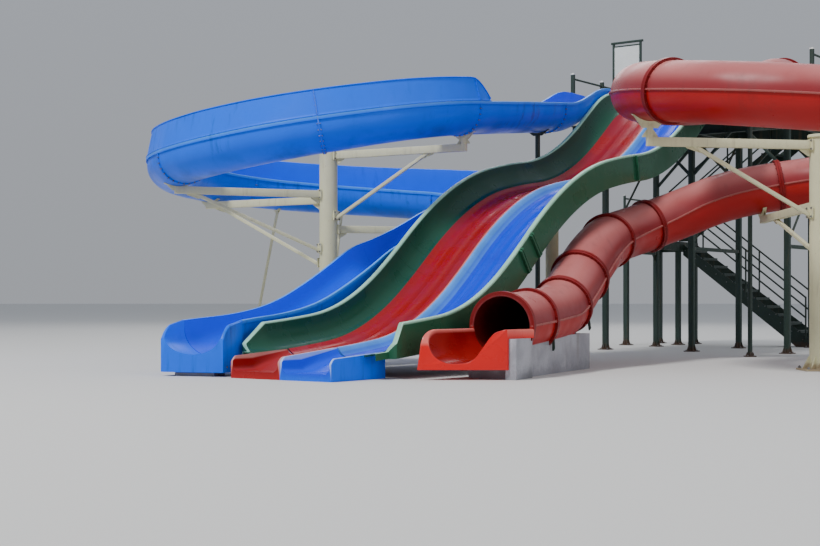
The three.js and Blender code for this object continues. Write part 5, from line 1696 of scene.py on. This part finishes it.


# Label; outside, faded, dirt, inside and rim colours; fade, grime and roughness; the rest by name
# On what faces the sky the faded colour is a painted sunlight on the tube's top; the dirt colour below is partly
# painted shade;
# the inside colour of the trays is a painted shade; the rim colour is a painted highlight on rims, ridges and tray
# edges.
GELCOATS = {
    "blue_shell": ("Blue gelcoat", "blue", (20, 124, 248), (22, 70, 104), (0, 78, 244), (84, 168, 250),
                   0.3, 0.8, 0.36, {"specular": 0.18}),
    "blue_lane": ("Blue lane", (10, 36, 100), (30, 110, 240), (40, 50, 70), (0, 58, 232), (104, 186, 255),
                  0.15, 0.5, 0.26, {"specular": 0.22}),
    "red_lane": ("Red lane", (10, 36, 100), (206, 84, 78), (40, 50, 70), (158, 12, 16), (238, 146, 130),
                 0.2, 0.5, 0.26, {}),
    "blue_tray": ("Blue tray", "blue", (30, 120, 246), (30, 70, 110), (0, 62, 236), (206, 230, 252),
                  0.3, 0.5, 0.3, {"specular": 0.2}),
    "red_tray": ("Red tray", (176, 26, 26), (206, 96, 92), (90, 44, 40), (150, 10, 12), (230, 170, 160),
                 0.3, 0.5, 0.3, {}),
    "green_shell": ("Green gelcoat", (36, 92, 66), (88, 138, 108), (72, 80, 58), "green", (178, 232, 204),
                    0.35, 0.6, 0.3, {"edge_part": 0.85}),
    # The tube's pale faded colour on its top is a painted sunlight.
    "tube_upper": ("Faded red gelcoat", "faded_red", (226, 146, 140), (100, 60, 58), (90, 14, 14), (164, 98, 92),
                   0.8, 0.4, 0.34, {"fade_from": 0.12}),
    "tube_lower": ("Red gelcoat", "red", (190, 62, 58), (90, 36, 34), (90, 14, 14), (164, 98, 92),
                   0.3, 0.4, 0.34, {}),
    "tube_ring": ("Ring red", (122, 22, 24), (176, 70, 68), (80, 36, 34), None, None,
                  0.5, 0.5, 0.3, {"specular": 0.2, "fade_from": 0.12}),
    "tube_seam": ("Seam red", (160, 96, 92), (206, 150, 146), (96, 50, 46), None, None, 0.6, 0.5, 0.3, {}),
    "tube_tray": ("Tray red", (222, 28, 26), (226, 84, 76), (110, 50, 44), (132, 8, 10), (240, 130, 118),
                  0.3, 0.3, 0.26, {}),
}
# Label, colour, rust and chalk
PAINTS = {
    "cream_paint": ("Cream paint", "cream", 0.6, 0.35), "green_paint": ("Dark green paint", "post", 0.35, 0.2),
    "deck": ("Deck paint", (170, 168, 150), 0.5, 0.35), "cap": ("White caps", (226, 226, 222), 0.15, 0.35),
    "board": ("Board paint", "board", 0.1, 0.35),
}
MADE = {}


def finishes():
    """The slide's materials, made once from the scene's colours and the tables."""
    if MADE:
        return MADE
    tint = bpy.context.scene.slide_colours
    def shade(value):
        return tuple(getattr(tint, value)) if isinstance(value, str) else srgb(*value) if value else None
    for key, (label, *shades, fade, grime_and_shade, roughness, more) in GELCOATS.items():
        MADE[key] = gelcoat(label, *(shade(value) for value in shades), fade, grime_and_shade, roughness, **more)
    for key, (label, value, rust, dust) in PAINTS.items():
        MADE[key] = painted_steel(label, shade(value), rust, dust)
    MADE["concrete"] = cast_concrete("Concrete", tuple(tint.concrete))
    MADE["fastener"] = galvanised("Zinc fasteners")
    return MADE


# Stage
LIGHTS = (("Key", (-15, -20, 36), 8, 15500), ("Fill", (26, -24, 14), 26, 2600), ("Back", (6, 30, 24), 24, 3000))
LIGHTS_AIM = Vector((3, 0, 2))


class SLIDE_OT_stage(Operator):
    """Lay the pale floor, set the soft lights and the camera"""
    bl_idname = "slide.stage"
    bl_label = "Stage"

    def execute(self, context):
        self.lay_floor()
        self.hang_sky(context.scene)
        for name, place, size, power in LIGHTS:
            light = bpy.data.lights.new(name, "AREA")
            light.shape, light.size, light.energy = "DISK", size, power
            lamp = put(name, light)
            lamp.location = place
            lamp.rotation_mode = "QUATERNION"
            lamp.rotation_quaternion = (LIGHTS_AIM - Vector(place)).to_track_quat("-Z", "Y")
        camera = put("Camera", bpy.data.cameras.new("Camera"))
        camera.data.sensor_width = 36
        camera.data.lens = 61.46
        camera.data.shift_y = 27 / 820         # the photograph's horizon lies 27 of its 820 pixels off its middle
        camera.data.clip_end = 1000
        camera.location = (1.572, -27.0, 1.12)
        camera.rotation_euler = (math.pi / 2, 0, 0)
        context.scene.camera = camera
        return {"FINISHED"}

    def lay_floor(self):
        """A pale round floor just under the slide's feet, as part of the stage."""
        bm = bmesh.new()
        bmesh.ops.create_circle(bm, cap_ends=True, segments=64, radius=400)
        material, _, surface = new_material("Pale floor", 0.9)
        surface["Base Color"].default_value = srgb(206, 204, 200)
        floor = to_piece("studio_floor", bm, material)
        floor.location = (2, 0, -0.001)

    def hang_sky(self, scene):
        """A soft grey sky, a little bluer and brighter above."""
        world = bpy.data.worlds.new("Soft sky")
        world.use_nodes = True
        sky = Graph(world.node_tree)
        height = sky.add("ShaderNodeSeparateXYZ", {0: sky.add("ShaderNodeTexCoord").outputs["Generated"]}).outputs[2]
        shade = mix(sky, span(sky, height, -0.1, 0.75), (0.50, 0.52, 0.56, 1), (0.62, 0.68, 0.78, 1))
        background = world.node_tree.nodes["Background"].inputs
        sky.link(shade, background["Color"])
        background["Strength"].default_value = 0.75
        scene.world = world


class SLIDE_PT_panel(Panel):
    """Lists the slide's pieces and sizes"""
    bl_idname = "SLIDE_PT_panel"
    bl_label = "Water slide tower"
    bl_space_type = "VIEW_3D"
    bl_region_type = "UI"
    bl_category = "Water Slide"

    def draw(self, context):
        column = self.layout.column()
        for operator in OPERATORS:
            column.operator(operator.bl_idname)
        for group in (getattr(context.scene, name) for name in GROUPS):
            for name in group.bl_rna.properties.keys():
                if name not in {"rna_type", "name"}:
                    column.prop(group, name)


OPERATORS = (SLIDE_OT_open_flume, SLIDE_OT_open_exit, SLIDE_OT_splash_guard, SLIDE_OT_open_supports,
             SLIDE_OT_racing_slide, SLIDE_OT_racing_supports, SLIDE_OT_closed_tube, SLIDE_OT_tube_exit,
             SLIDE_OT_tube_supports, SLIDE_OT_start_deck, SLIDE_OT_guard_rails, SLIDE_OT_stairs,
             SLIDE_OT_notice_board, SLIDE_OT_stage)
GROUPS = {"slide_flume": FlumeSizes, "slide_steel": SteelSizes, "slide_colours": FinishColours}


def register():
    for item in (*GROUPS.values(), *OPERATORS, SLIDE_PT_panel):
        bpy.utils.register_class(item)
    for name, group in GROUPS.items():
        setattr(bpy.types.Scene, name, PointerProperty(type=group))


def unregister():
    for name in GROUPS:
        delattr(bpy.types.Scene, name)
    for item in reversed((*GROUPS.values(), *OPERATORS, SLIDE_PT_panel)):
        bpy.utils.unregister_class(item)


def main():
    register()
    for operator in OPERATORS:
        group, name = operator.bl_idname.split(".")
        getattr(getattr(bpy.ops, group), name)()


if __name__ == "__main__":
    main()
